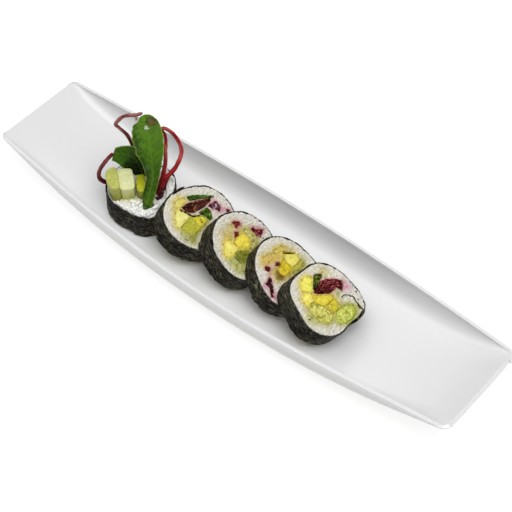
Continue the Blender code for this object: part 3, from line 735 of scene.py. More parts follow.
def grooves(points, centre, look, seed):
    """How deep each point lies, 0 to 1, in the fibres or ridges that run across a cut."""
    turn = math.radians(look.turn)
    across = (points[:, 0] - centre[0]) * math.cos(turn) + (points[:, 1] - centre[1]) * math.sin(turn)
    bend = lumps(points, 4.0, seed + 5, 0.9)
    groove = np.abs(np.sin(math.pi * (across + bend) / look.pitch))
    return 1 - np.minimum(groove * (1.5 + lumps(points, 2.4, seed + 11, 0.9)), 1.0)


def flesh_surface(points, normals, rim, others, look, seed):
    """Move a filling's points into its relief, pressed against its neighbours, and tint each."""
    centre = rim.reshape(-1, 2).mean(axis=0)
    size = np.abs(rim.reshape(-1, 2) - centre).max()
    groove = grooves(points, centre, look, seed)
    grainy = lumps(points, 1.0, seed + 9, 1.0)
    rough = lumps(points, look.lump, seed, look.depth) + grainy * look.grain
    squeeze = SQUEEZE + lumps(points * (1, 1, 0.35), 5.0, seed + 3, look.wedge)
    room = np.maximum(edge_distance(points, others), 0) * ROOM_SHARE
    flat = np.abs(normals[:, 2])
    wall_push = np.minimum(np.where(room < TIGHT_GAP, TIGHT_SWELL, squeeze), room)
    push = rough * flat + wall_push * (1 - flat) - look.ridge * groove
    inset = -edge_distance(points, rim)
    crown = look.crown * np.clip(inset / size, 0, 1) * flat
    moved_points = points + normals * (push + crown)[:, None]
    tints = one_tint(look.middle, len(points))
    tints = blend(tints, look.edge, np.exp(-np.maximum(inset, 0) / EDGE_BAND) * 0.9)
    if look.tip:
        lift = np.clip(points[:, 2] / points[:, 2].max(), 0, 1)
        spread = (points[:, :2] - centre) * look.tip[3] + np.array(look.tip[:2])
        moved_points += np.column_stack([spread * lift[:, None], look.tip[2] * lift])
        # A proud stick's sides, and its lower part, are tinted towards the wall colour as painted shade.
        tints = blend(tints, look.wall, (1 - flat) * 0.3 + (0.72 - lift) * 1.1)
    if look.rind:
        direction, reach, colour = look.rind
        ray = (math.cos(math.radians(direction)), math.sin(math.radians(direction)))
        side = ((points[:, :2] - centre) @ np.array(ray)) / size
        tints = blend(tints, colour, (side - reach + lumps(points, 1.5, seed + 2, 0.3)) * 2.2)
    tints = blend(tints, look.fleck, (lumps(points, 2.2, seed + 7) - 0.08) * look.spots)
    tints = blend(tints, look.fleck, groove * min(look.ridge * 2.2, 0.75))
    return moved_points, tints * (1 + np.clip(grainy, -0.5, 0.4) * look.grain * 2)[:, None]


def tinted_piece(name, cut, points, faces, finish, tints):
    """A piece of a slice, from points in its own millimetres."""
    piece = new_object(name, moved(points, cut.place()), faces, finish)
    set_tint(piece, tints)
    return piece


def make_soft_fillings():
    wet = {"Subsurface Weight": 0.25, "Subsurface Scale": 0.002, "Subsurface Radius": (1.0, 0.8, 0.3),
           "Specular IOR Level": 0.35}
    finish = tinted("moist_fruit", 0.3, wet, patch=2.4, shades=(0.92, 1.06), bump_size=0.7, bump_depth=0.12)
    for cut in SLICES:
        rims = fillings_of(cut)
        for number, (short, look) in enumerate(PLATTERS[cut.name].items()):
            node = cut.name + "_" + short
            others = np.vstack([rim for name, rim in rims.items() if name != short])
            points, normals, faces = fine_shape(node, cut, FRUIT_VOXEL, rounding=2)
            seed = number * 3 + cut.radius
            points, tints = flesh_surface(points, normals, rims[short], others, look, seed)
            stick = tinted_piece(node + "_stick", cut, points, faces, finish, tints)
            keep(stick, short.split("_")[0], node)


make_soft_fillings()

# ---------------------------------------------------------------- leaf fillings
# Red radicchio and green lettuce leaves, laid in flat on each other and cut with the roll. Each shows as a
# bundle of thin wavy edges with dark gaps between them, on a heart of the same leaves pressed together.
EDGE_SHARES = (0.0, 0.25, 0.55, 1.0)  # rows of an edge, from its free rim down
EDGE_DEPTH = 2.8
EDGE_FILL = 0.6  # how much of its share of the bundle's width each leaf fills
EDGE_ROUNDING = 0.12
LONGEST_REACH = 6.0  # sideways from a bundle's middle line
BACK_PROUD = 0.1  # how far what is cut stands out of a slice's back face
HEART_VOXEL = 0.4
HEART_INSET = 1.1


@dataclass
class Bundle:
    """Leaves pressed together: the way that they run over the cut, how many there are and their colours."""

    path: tuple
    layers: int
    dark: tuple
    bright: tuple
    light: tuple
    proud: float = 0.35  # how far their edges stand out of the cut
    rise: float = 0.5  # how unevenly their edges stand


BUNDLES = {
    "roll_1_red_leaf": Bundle(((12.4, -2.2), (13.0, 1.4), (11.6, 4.8)), 3,
                              (44, 12, 18), (86, 26, 34), (150, 80, 92), proud=1.3, rise=0.7),
    "roll_2_leaf_strip": Bundle(((-12.8, 6.2), (-9.6, 9.2), (-5.6, 13.3), (-1.0, 17.8)), 3,
                                (46, 84, 8), (98, 140, 40), (164, 184, 110)),
    "roll_2_red_leaf": Bundle(((-10.2, -1.9), (-7.9, 1.2), (-6.3, 5.0), (-4.4, 9.0), (-2.6, 12.5),
                               (-1.1, 15.0)), 6,
                              (48, 14, 6), (118, 50, 32), (206, 146, 114), proud=0.6, rise=0.8),
    "roll_2_red_leaf_rib": Bundle(((0.8, 10.6), (3.0, 12.6), (6.2, 14.0)), 5,
                                  (56, 12, 22), (136, 78, 98), (232, 214, 226)),
    "roll_2_red_leaf_end": Bundle(((10.5, 16.0), (11.2, 16.8), (11.8, 17.4)), 2,
                                  (40, 4, 10), (92, 20, 32), (160, 80, 92)),
    "roll_2_green_leaf": Bundle(((-1.5, 3.0), (0.4, 4.8), (2.6, 5.6), (5.6, 4.6)), 5,
                                (34, 60, 4), (100, 144, 24), (180, 198, 84), proud=0.5, rise=0.8),
    "roll_3_red_leaf_1": Bundle(((-12.8, 7.2), (-11.0, 7.9), (-9.2, 8.8)), 4,
                                (100, 18, 10), (172, 50, 34), (230, 150, 116)),
    "roll_3_red_leaf_2": Bundle(((-6.9, 0.5), (-7.2, 2.2), (-7.0, 3.7)), 3,
                                (96, 24, 4), (162, 62, 22), (218, 140, 76)),
    "roll_3_red_leaf_3": Bundle(((-2.4, 13.2), (0.4, 12.8), (2.6, 13.8), (3.8, 15.4), (4.2, 17.2)), 4,
                                (74, 8, 12), (138, 30, 36), (216, 120, 122)),
    "roll_4_green_leaf": Bundle(((-9.0, 9.2), (-6.6, 11.4), (-4.0, 14.0)), 2,
                                (90, 78, 6), (132, 120, 30), (184, 172, 90)),
    "roll_4_red_leaf_1": Bundle(((-12.3, -6.0), (-11.0, -6.5), (-9.7, -6.4)), 3,
                                (74, 14, 4), (130, 44, 18), (196, 112, 74)),
    "roll_4_red_leaf_2": Bundle(((-8.6, -1.2), (-8.2, 0.2), (-7.9, 1.6)), 2,
                                (80, 20, 2), (142, 54, 14), (206, 124, 66)),
    "roll_4_red_leaf_3": Bundle(((-6.9, -10.4), (-5.6, -12.4), (-4.0, -13.6), (-1.6, -15.6),
                                 (1.2, -18.2)), 3,
                                (38, 6, 12), (90, 28, 42), (196, 130, 154)),
    "roll_5_green_leaf": Bundle(((-9.4, -1.4), (-10.6, 2.0), (-11.4, 5.4), (-11.0, 8.2)), 4,
                                (34, 52, 2), (100, 114, 18), (156, 166, 54), proud=0.5, rise=0.8),
    "roll_5_red_leaf": Bundle(((-7.0, -2.4), (-6.2, 1.2), (-4.2, 5.4), (-2.4, 9.4), (0.4, 12.4),
                               (2.9, 12.8)), 8,
                              (54, 6, 8), (142, 28, 38), (220, 122, 116), proud=0.8, rise=0.9),
}


def reach_of(spine, side, rim):
    """How far a leaf bundle reaches sideways from each point of its middle line."""
    start, along = rim[:, 0], rim[:, 1] - rim[:, 0]
    offset = start[None] - spine[:, None]
    turned = side[:, None, 0] * along[None, :, 1] - side[:, None, 1] * along[None, :, 0]
    turned = np.where(np.abs(turned) < 1e-9, 1e-9, turned)
    away = (offset[..., 0] * along[None, :, 1] - offset[..., 1] * along[None, :, 0]) / turned
    share = (offset[..., 0] * side[:, None, 1] - offset[..., 1] * side[:, None, 0]) / turned
    hit = (share >= 0) & (share <= 1) & (away > 0)
    return np.where(hit, away, LONGEST_REACH).min(axis=1)


def leaf_edges(cut, bundle, rim, seed):
    """The free edges of the leaves at both cuts: open wavy strips side by side."""
    spine = smooth_path(bundle.path, 14)
    travelled, ahead = course(spine)
    side = np.stack([-ahead[:, 1], ahead[:, 0]], axis=1)
    left, right = reach_of(spine, side, rim), reach_of(spine, -side, rim)
    pitch = (left + right) / bundle.layers
    cuts = ((bundle.proud, 1), (-cut.thickness - BACK_PROUD, -1))
    points, faces, tints = [], [], []
    for layer in range(bundle.layers):
        start = int(len(spine) * 0.25 * abs(math.sin(layer * 2.3 + seed)))
        stop = len(spine) - int(len(spine) * 0.25 * abs(math.sin(layer * 3.7 + seed)))
        part = slice(start, stop)
        run = travelled[part]
        swing = 0.5 if layer in (0, bundle.layers - 1) else 0.9
        wave = lumps([(t, layer * 0.6, seed) for t in run], 2.2, seed, swing) * pitch[part]
        middle = (layer + 0.5) * pitch - right
        flat = spine[part] + side[part] * (middle[part] + wave)[:, None]
        edge = lumps([(t, layer * 2.9, seed + 4) for t in run], 1.5, seed, bundle.rise)
        streak = lumps([(t, layer * 3.3, seed + 8) for t in run], 1.3, seed)
        strip = grid_faces(len(EDGE_SHARES), len(run))
        for top, down in cuts:
            first = sum(len(row) for row in points)
            for share in EDGE_SHARES:
                deep = top + down * (edge * (1 - share) - EDGE_DEPTH * share)
                lean = side[part] * (0.35 * (share - 0.3) * math.sin(layer * 1.9 + seed))
                points.append(np.column_stack([flat + lean, deep]))
                # The edges are painted darker the deeper they lie, as shade in the gaps between the leaves.
                tone = one_tint(bundle.dark, len(run))
                tone = blend(tone, bundle.bright, 0.7 + streak * 1.2 - share * 1.1)
                tints.append(blend(tone, bundle.light, (streak - 0.2) * 3.0 - share * 2))
            faces += [tuple(first + corner for corner in face[::down]) for face in strip]
    return np.vstack(points), faces, np.vstack(tints), float(pitch.mean())


def make_leaf_edges(node, bundle, cut, seed, slot, finish):
    points, faces, tints, pitch = leaf_edges(cut, bundle, outline_of(node, cut), seed)
    edges = tinted_piece(node + "_edges", cut, points, faces, finish, tints)
    thicken(edges, EDGE_FILL * pitch)
    round_off = edges.modifiers.new("Rounding", "BEVEL")
    round_off.width = EDGE_ROUNDING * MM
    round_off.segments = 2
    settle(edges)
    keep(edges, slot)


def make_heart(node, bundle, cut, number, slot, finish):
    """The leaves' pressed middle, a little sunk and uneven."""
    points, normals, faces = fine_shape(node, cut, HEART_VOXEL, rounding=2, squeeze=HEART_INSET)
    upright = np.abs(normals[:, 2])
    sunk = lumps(points, 2.4, number, 0.45) * (1 - upright) - 0.35 + lumps(points, 1.2, number, 0.25)
    points += normals * sunk[:, None]
    # The sunk heart is darkened by a fifth below the edges' dark colour, as painted shade at the bottom of
    # the gaps.
    tone = one_tint(bundle.dark, len(points)) * 0.8
    tints = blend(tone, bundle.bright, lumps(points, 1.6, number + 30) * 1.2)
    heart = tinted_piece(node + "_heart", cut, points, faces, finish, tints)
    keep(heart, slot, node)


def make_leaf_fillings():
    moist = {"Specular IOR Level": 0.2, "Subsurface Weight": 0.05, "Subsurface Scale": 0.001}
    finish = tinted("cut_leaves", 0.36, moist, patch=1.4, shades=(0.72, 1.08), bump_size=0.5, bump_depth=0.1)
    for number, (node, bundle) in enumerate(BUNDLES.items()):
        cut = next(cut for cut in SLICES if node.startswith(cut.name))
        slot = "red_leaf" if "red" in node else "green_leaf"
        make_leaf_edges(node, bundle, cut, number * 1.7, slot, finish)
        make_heart(node, bundle, cut, number, slot, finish)


make_leaf_fillings()

# ---------------------------------------------------------------- folded seaweed
# A scrap of the seaweed sheet lies folded between the fillings of the second slice, and crumbs that the
# knife tore off the sheets' rims stick to the rice of all but the first.
FOLD = ((-12.4, -4.4), (-9.4, -3.6), (-6.4, -3.0), (-4.2, -2.7), (-2.4, -0.8), (-0.9, 0.9))
FOLD_ROWS = 14
CRUMBS = {  # local places and widths
    "roll_1": (),
    "roll_2": ((1.6, -18.6, 1.2), (-3.4, -17.6, 0.7)),
    "roll_3": ((4.8, 12.1, 1.5), (6.6, 12.5, 1.0), (3.6, 17.4, 0.7)),
    "roll_4": ((9.6, 14.2, 0.8),),
    "roll_5": ((11.0, 16.4, 1.3), (7.6, 17.2, 0.8), (14.6, 13.4, 0.9), (0.0, -18.4, 1.3), (0.6, -16.8, 0.8)),
}
CRUMB_SIDES = 9


def make_fold():
    cut = SLICES[1]
    spine = smooth_path(FOLD, 10)
    points = []
    for share in np.linspace(0, 1, FOLD_ROWS):
        wander = lumps([(x, y, share * 6) for x, y in spine], 3.0, 9, 0.18)
        edge = lumps([(x, y, 40) for x, y in spine], 1.6, 9, 0.35)
        deep = -cut.thickness * (1 - share) + np.where(share == 1, 0.25 + edge, 0.0)
        points.append(np.column_stack([spine + wander[:, None], np.broadcast_to(deep, len(spine))]))
    faces = grid_faces(FOLD_ROWS, len(spine))
    piece = new_object("roll_2_folded_seaweed", moved(np.vstack(points), cut.place()), faces, NORI_FINISH)
    piece.data.uv_layers.new(name="sheet")
    thicken(piece, NORI)
    settle(piece)
    keep(piece, "nori", "roll_2_nori_fold")


def make_crumbs():
    """Torn specks of the sheet on the cut faces, each a ragged lens, all in one mesh."""
    places, faces = [], []
    turn = np.arange(CRUMB_SIDES) * math.tau / CRUMB_SIDES
    for cut in SLICES:
        for x, y, width in CRUMBS[cut.name]:
            reach = width * (0.5 + 0.16 * np.sin(turn * 2 + x) + 0.1 * np.sin(turn * 4 + y))
            rim = np.column_stack([x + reach * np.cos(turn), y + 0.7 * reach * np.sin(turn),
                                   0.3 + 0.12 * np.sin(turn + y)])
            first = sum(len(points) for points in places)
            top, bottom = first + CRUMB_SIDES, first + CRUMB_SIDES + 1
            places.append(moved(np.vstack([rim, (x, y, 0.5), (x, y, 0.1)]), cut.place()))
            for side in range(CRUMB_SIDES):
                here, after = first + side, first + (side + 1) % CRUMB_SIDES
                faces += [(top, here, after), (bottom, after, here)]
    crumbs = new_object("seaweed_crumbs", np.vstack(places), faces, NORI_FINISH)
    crumbs.data.uv_layers.new(name="sheet")
    keep(crumbs, "nori")


make_fold()
make_crumbs()

# ---------------------------------------------------------------- rice
# Short-grain rice, boiled, seasoned and pressed round the filling. The knife leaves its grains cut level,
# a little sunk between each other, and the filling's juice tints the grains beside it. The first slice's
# grains are loose and fresh, heaped round the garnish.
GRAIN = (2.5, 1.25, 1.05)  # half the length, width and height
GRAIN_BEND = 0.22
GRAIN_BLUNT = 0.14
GRAIN_STUMP = 0.12  # what the knife leaves of a grain's height over the cut
CORE_VOXEL = 0.5
CORE_INSET = 0.42  # how far the pressed mass lies under the cut grains
CORE_FLUSH = 0.18  # how far it stands over the cut under smeared fruit
SMEAR_REACH = 2.1  # soft fruit is smeared over the rice this far from its edge
STAINS = {  # a filling's juice: its colour and how far it has soaked in
    "mango": ((210, 190, 72), 2.8), "avocado": ((184, 180, 86), 3.0), "red_leaf": ((206, 140, 140), 1.1)}
SPILLS = {  # juice and pulp that have run further: local place, reach and colour
    "roll_1": (),
    "roll_2": ((-12.4, -5.4, 4.6, (214, 200, 96)), (8.2, 14.2, 3.0, (196, 128, 160)),
               (-0.6, -17.6, 2.4, (186, 188, 110))),
    "roll_3": ((-11.2, -2.8, 4.6, (204, 176, 72)), (-12.4, 3.6, 3.6, (208, 190, 100)),
               (-9.4, 8.0, 2.6, (204, 128, 108)), (1.8, 14.8, 2.8, (206, 130, 142)),
               (7.6, -11.6, 4.2, (182, 186, 98)), (-4.0, 1.0, 7.0, (206, 190, 76))),
    "roll_4": ((-14.4, -2.0, 3.4, (206, 166, 80)), (2.4, 3.4, 4.4, (200, 182, 70)),
               (-6.4, -5.4, 3.6, (200, 160, 84)), (-5.4, -15.8, 2.8, (204, 126, 160)),
               (2.2, -17.4, 2.4, (206, 140, 170)), (-6.8, 10.4, 4.4, (196, 188, 90))),
    "roll_5": ((-10.8, 10.8, 3.6, (210, 198, 110)), (4.8, 14.6, 2.6, (212, 132, 170)),
               (0.6, -16.0, 4.2, (192, 194, 108)), (3.4, 7.6, 2.6, (178, 184, 116)),
               (-1.0, -5.0, 7.5, (204, 186, 66))),
}


@dataclass
class Packing:
    """How a slice's grains lie on its faces and take up juice, in millimetres and shares."""

    white: tuple  # as 0 to 255 in sRGB
    sink: float
    spacing: float
    tilt: float  # radians
    depth: float
    proud: float
    clearance: float  # how near to a filling a grain may reach; below zero, how far into it
    soak: float


PRESSED = Packing((228, 223, 209), sink=0.62, spacing=1.75, tilt=0.28, depth=0.2, proud=0.05,
                  clearance=-0.7, soak=0.8)
# The loose rice's white is lighter than the pressed rice's, as painted light against the shade of the leaves
# over it.
LOOSE = Packing((250, 250, 244), sink=0.1, spacing=1.9, tilt=1.0, depth=1.5, proud=2.4,
                clearance=0.3, soak=0.35)


def packing_of(cut):
    return LOOSE if cut.name == "roll_1" else PRESSED


def nearest_edge(points, rims):
    """How far each point lies outside the nearest of these outlines."""
    return np.min([edge_distance(points, rim) for rim in rims], axis=0)


def smear(points, cut, fillings):
    """How much of a point, 0 to 1, is under smeared mango or avocado."""
    uneven = 1 + lumps(points, 3.0, 44, 0.4)
    soft = [rim for name, rim in fillings.items() if "mango" in name or "avocado" in name]
    apart = np.maximum(nearest_edge(points, soft), 0) * uneven
    share = np.exp(-(apart / SMEAR_REACH) ** 2)
    for x, y, reach, colour in SPILLS[cut.name]:
        if colour[2] < colour[1]:  # pulp, which is more yellow than pink
            apart = np.hypot(points[:, 0] - x, points[:, 1] - y) * uneven
            share = np.maximum(share, 0.85 * np.exp(-(apart / reach) ** 4))
    return share


def rice_tints(points, cut, fillings):
    """White rice, stained by the juicy fillings near it and by what has run further."""
    packing = packing_of(cut)
    tints = one_tint(packing.white, len(points))
    uneven = 1 + lumps(points, 3.0, 40, 0.35)
    for x, y, reach, colour in SPILLS[cut.name]:
        apart = np.hypot(points[:, 0] - x, points[:, 1] - y) * uneven
        tints = blend(tints, colour, 0.8 * np.exp(-(apart / reach) ** 2))
    for kind, (colour, reach) in STAINS.items():
        rims = [rim for name, rim in fillings.items() if kind in name]
        if rims:
            apart = np.maximum(nearest_edge(points, rims), 0) * uneven
            tints = blend(tints, colour, packing.soak * np.exp(-(apart / reach) ** 2))
    for name, rim in fillings.items():
        if name in PLATTERS[cut.name] and packing is PRESSED:
            apart = np.maximum(edge_distance(points, rim), 0) * uneven
            tints = blend(tints, PLATTERS[cut.name][name].edge, packing.soak * np.exp(-(apart / 1.2) ** 2))
    pulp = smear(points, cut, fillings)
    fleck = np.clip(lumps(points, 1.5, 47, 1.6) - 0.05, 0, 0.5) * pulp
    return tints * (1 - fleck[:, None] * (0.9, 1.0, 1.4))


def make_grain(material):
    """One cooked grain: plump, a little bent, blunter at one end."""
    bpy.ops.mesh.primitive_ico_sphere_add(subdivisions=2, radius=1.0)
    grain = bpy.context.object
    grain.name = "grain"
    for vertex in grain.data.vertices:
        x, y, z = vertex.co
        plump = 1 - GRAIN_BLUNT * x
        height = z * plump * GRAIN[2] - GRAIN_BEND * x * x
        vertex.co = Vector((x * GRAIN[0], y * plump * GRAIN[1], height)) * MM
    grain.data.shade_smooth()
    grain.data.materials.append(material)
    grain.hide_render = True
    return grain


def open_tree(name, taken, inputs, given):
    """A geometry tree with a mesh and other named inputs to take and a mesh to give, and its inputs."""
    tree = bpy.data.node_groups.new(name, "GeometryNodeTree")
    for label, kind in ((taken, "Geometry"), *inputs):
        tree.interface.new_socket(label, in_out="INPUT", socket_type="NodeSocket" + kind)
    tree.interface.new_socket(given, in_out="OUTPUT", socket_type="NodeSocketGeometry")
    return tree, add(tree, "NodeGroupInput").outputs


def close_tree(tree, given, shape, finish):
    """End a geometry tree in a plain mesh with its finish."""
    solid = result(tree, "GeometryNodeRealizeInstances", {"Geometry": shape})
    finished = result(tree, "GeometryNodeSetMaterial", {"Geometry": solid, "Material": finish})
    add(tree, "NodeGroupOutput", {given: finished})
    return tree


def make_scatter_tree():
    """Grains laid over a surface, each turned its own way: surface in, plain mesh out."""
    tree, asked = open_tree("pressed_grains", "Surface", (
        ("Grain", "Object"), ("Spacing", "Float"), ("Tilt", "Float"), ("Depth", "Float"), ("Seed", "Int"),
        ("Finish", "Material")), "Grains")
    spots = add(tree, "GeometryNodeDistributePointsOnFaces", {
        "Mesh": asked["Surface"], "Distance Min": asked["Spacing"], "Density Max": 4.0e6,
        "Seed": asked["Seed"]}, distribute_method="POISSON").outputs
    turn = result(tree, "FunctionNodeRandomValue", {
        0: (-1.0, -1.0, 0.0), 1: (1.0, 1.0, math.tau), "Seed": asked["Seed"]}, data_type="FLOAT_VECTOR")
    limits = result(tree, "ShaderNodeCombineXYZ", {"X": asked["Tilt"], "Y": asked["Tilt"], "Z": 1.0})
    spin = result(tree, "FunctionNodeEulerToRotation", {"Euler": times(tree, turn, limits)})
    lie = result(tree, "FunctionNodeRotateRotation", {"Rotation": spots["Rotation"], "Rotate By": spin},
                 rotation_space="LOCAL")
    level = add(tree, "FunctionNodeRandomValue", {2: -1.0, 3: 1.0, "Seed": 7}, data_type="FLOAT").outputs[1]
    rise = result(tree, "ShaderNodeMath", {0: level, 1: asked["Depth"]}, operation="MULTIPLY")
    shift = result(tree, "ShaderNodeVectorMath", {0: spots["Normal"], "Scale": rise}, operation="SCALE")
    laid = result(tree, "GeometryNodeSetPosition", {"Geometry": spots["Points"], "Offset": shift})
    size = add(tree, "FunctionNodeRandomValue", {2: 0.78, 3: 1.08, "Seed": 3}, data_type="FLOAT").outputs[1]
    shape = add(tree, "GeometryNodeObjectInfo", {"Object": asked["Grain"]}).outputs["Geometry"]
    placed = result(tree, "GeometryNodeInstanceOnPoints", {
        "Points": laid, "Instance": shape, "Rotation": lie, "Scale": size})
    return close_tree(tree, "Grains", placed, asked["Finish"])


def run_tree(made, tree, values):
    """Run a geometry tree on an object, its inputs set by their identifiers, and keep the plain mesh."""
    grown = made.modifiers.new(tree.name, "NODES")
    grown.node_group = tree
    for socket in tree.interface.items_tree:
        if socket.in_out == "INPUT" and socket.name in values:
            grown[socket.identifier] = values[socket.name]
    return settle(made)


def cut_faces(cut, sink):
    """The two cut faces of a slice's rice, sunk a little, as a surface for its grains to lie on."""
    mesh = cad_shape(cut.name + "_rice", cut, sink)
    shape = bmesh.new()
    shape.from_mesh(mesh)
    walls = [face for face in shape.faces if abs(face.normal.z) < 0.9]
    bmesh.ops.delete(shape, geom=walls, context="FACES")
    shape.to_mesh(mesh)
    shape.free()
    return put("cut_faces", mesh)


def level_grains(points, cut, proud):
    """Cut the grains off level with both faces, and press them in under the sheet."""
    for side, height in ((1, proud), (-1, -cut.thickness - BACK_PROUD)):
        over = side * (points[:, 2] - height) > 0
        points[over, 2] = height + (points[over, 2] - height) * GRAIN_STUMP
    angles = np.degrees(np.arctan2(points[:, 1], points[:, 0]))
    reach = np.hypot(points[:, 0], points[:, 1])
    shrink = np.minimum(cut.rice_radius(angles) / np.maximum(reach, 1e-6), 1.0)
    points[:, :2] *= shrink[:, None]
    return points


def clear_grains(points, cut, fillings, count):
    """Which grains stay: not those that run far into a filling, nor most of those under a smear."""
    nearest = nearest_edge(points, fillings.values()).reshape(count, -1)
    buried = smear(points.reshape(count, -1, 3).mean(axis=1), cut, fillings)
    luck = (np.sin(np.arange(count) * 78.233) * 43758.5453) % 1.0  # a fixed draw for each grain
    return (nearest.min(axis=1) > packing_of(cut).clearance) & (buried * 0.9 < luck)


def make_rice_core(cut, number, fillings, finish):
    """The pressed mass under the grains, raised flush with the cut where soft fruit is smeared over it."""
    points, normals, faces = fine_shape(cut.name + "_rice", cut, CORE_VOXEL, squeeze=CORE_INSET)
    upright = np.abs(normals[:, 2])
    inner = np.hypot(points[:, 0], points[:, 1]) < cut.radius - 3.0
    uneven = lumps(points, 2.0, number, 0.2) * upright
    points += normals * (uneven + 0.2 * (1 - upright) * inner)[:, None]
    middle = -cut.thickness / 2
    level = np.abs(points[:, 2] - middle) > cut.thickness / 2 - CORE_INSET - 0.4
    proud = CORE_FLUSH - middle + lumps(points, 1.3, number + 50, 0.28)
    flush = middle + np.sign(points[:, 2] - middle) * proud
    share = smear(points, cut, fillings) * level
    points[:, 2] = points[:, 2] * (1 - share) + flush * share
    tints = rice_tints(points, cut, fillings)
    core = tinted_piece(cut.name + "_rice_core", cut, points, faces, finish, tints)
    keep(core, "rice", cut.name + "_rice")


def lay_grains(cut, number, fillings, tree, grain, finish):
    """The points of the grains on both faces of a slice, in its own millimetres."""
    packing = packing_of(cut)
    corners = len(grain.data.vertices)
    laid = run_tree(cut_faces(cut, packing.sink), tree, {
        "Grain": grain, "Spacing": packing.spacing * MM, "Tilt": packing.tilt,
        "Depth": packing.depth * MM, "Seed": 11 + number, "Finish": finish})
    points = np.array([vertex.co[:] for vertex in laid.data.vertices]) / MM
    bpy.data.objects.remove(laid)
    stays = clear_grains(points, cut, fillings, len(points) // corners)
    points = points.reshape(-1, corners, 3)[stays].reshape(-1, 3)
    return level_grains(points, cut, packing.proud)


def make_rice():
    rice = {"Subsurface Weight": 0.3, "Subsurface Scale": 0.002, "Subsurface Radius": (1.0, 0.9, 0.7),
            "Specular IOR Level": 0.45}
    core_finish = tinted(
        "pressed_rice", 0.5, rice, patch=3.0, shades=(0.84, 1.0), bump_size=1.1, bump_depth=0.25)
    grain_finish = tinted(
        "rice_grains", 0.36, rice, patch=5.0, shades=(0.94, 1.05), bump_size=0.9, bump_depth=0.08)
    grain = make_grain(grain_finish)
    grain_faces = np.array([face.vertices[:] for face in grain.data.polygons])
    corners = len(grain.data.vertices)
    tree = make_scatter_tree()
    all_points, all_tints = [], []
    for number, cut in enumerate(SLICES):
        fillings = fillings_of(cut)
        make_rice_core(cut, number, fillings, core_finish)
        points = lay_grains(cut, number, fillings, tree, grain, grain_finish)
        all_tints.append(rice_tints(points, cut, fillings))
        all_points.append(moved(points, cut.place()))
    bpy.data.objects.remove(grain)
    points = np.vstack(all_points)
    starts = np.arange(0, len(points), corners)
    faces = (grain_faces[None] + starts[:, None, None]).reshape(-1, 3)
    grains = new_object("rice_grains", points, faces.tolist(), grain_finish)
    set_tint(grains, np.vstack(all_tints))
    keep(grains, "rice")


make_rice()

# ---------------------------------------------------------------- garnish
# Two young beet leaves with their juicy red stems stand in the first slice, pushed down into its rice. The
# big one is cupped and finely veined, torn and browned near its tip; the small one lies back over the fruit.
LEAF_ROWS = 130
LEAF_COLUMNS = 57
LEAF_THICKNESS = 0.4
RIB_WIDTH = 0.5
VEIN_WIDTH = 0.32
VEIN_SLANT = 0.8  # how far along the leaf a side vein runs for each millimetre across
VEIN_SQUEEZE = 0.78  # what that slant takes off the spacing
WAVE_LENGTH = 12.5  # of the ripples along its rim
VEIN_COLOUR = (136, 172, 60)
HOLLOW_COLOUR = (30, 62, 4)  # between the fine veins
# painted shade on one side of the big leaf
PAINTED_SHADE_COLOUR = (22, 52, 0)
RIM_COLOUR = (170, 186, 92)
SCAR_COLOUR = (112, 84, 52)
SCAR_RIM_COLOUR = (46, 30, 14)
TORN_COLOUR = (196, 206, 142)
STEM_SIDES = 14
STEM_GROOVE = 0.16
DEEP_BELOW = 38  # the height under which stems darken
DULL_BELOW = 40  # the height under which they lose their painted highlights


@dataclass
class Leaf:
    """A leaf: its midrib from the foot up, its widths, the way across it and its colours along it."""

    rib: tuple
    widths: tuple
    across: tuple
    cup: float
    colours: tuple
    shade: tuple = ()  # painted shade on one side: how far along, how far across, how soon it fades along the leaf
    pitch: float = 4.4  # between side veins
    ripple: float = 0.7
    hole: tuple = ()  # along in millimetres, across in millimetres
    scar: tuple = ()  # a browned patch, placed in the same way


BIG_LEAF = Leaf(
    ((-61.2, -15.9, 24.9), (-61.4, -14.9, 26.6), (-62.4, -10.8, 32.8), (-63.5, -5.6, 41.0),
     (-66.8, -1.9, 49.3), (-71.4, 2.1, 60.0), (-75.1, 5.2, 68.2), (-77.2, 6.4, 71.8), (-79.4, 6.5, 74.2)),
    (5.5, 6.4, 7.8, 8.0, 13.2, 19.4, 17.6, 14.0, 2.5), (0.72, 0.60, 0.2), 0.22,
    ((52, 84, 2), (70, 104, 8), (58, 92, 2), (56, 92, 0), (76, 118, 8), (86, 124, 30), (86, 124, 24),
     (88, 130, 14)),
    shade=(0.4, -0.25, 1.4), hole=(50.6, -0.4), scar=(53.6, 3.8), ripple=0.5)
# The small leaf's colours run from near black at its foot to green at its tip: painted shade between the
# leaves.
SMALL_LEAF = Leaf(
    ((-78.4, 1.0, 25.5), (-79.0, 0.0, 29.6), (-80.2, -1.2, 37.8), (-82.4, -3.3, 44.6), (-85.9, -6.7, 47.7),
     (-90.2, -11.0, 49.6)),
    (5, 10, 18, 19.5, 17, 12.5), (0.45, 0.40, 0.80), 0.15,
    ((8, 20, 0), (8, 24, 0), (12, 34, 0), (28, 62, 0), (52, 96, 0), (62, 108, 2)), pitch=3.8, ripple=0.35)


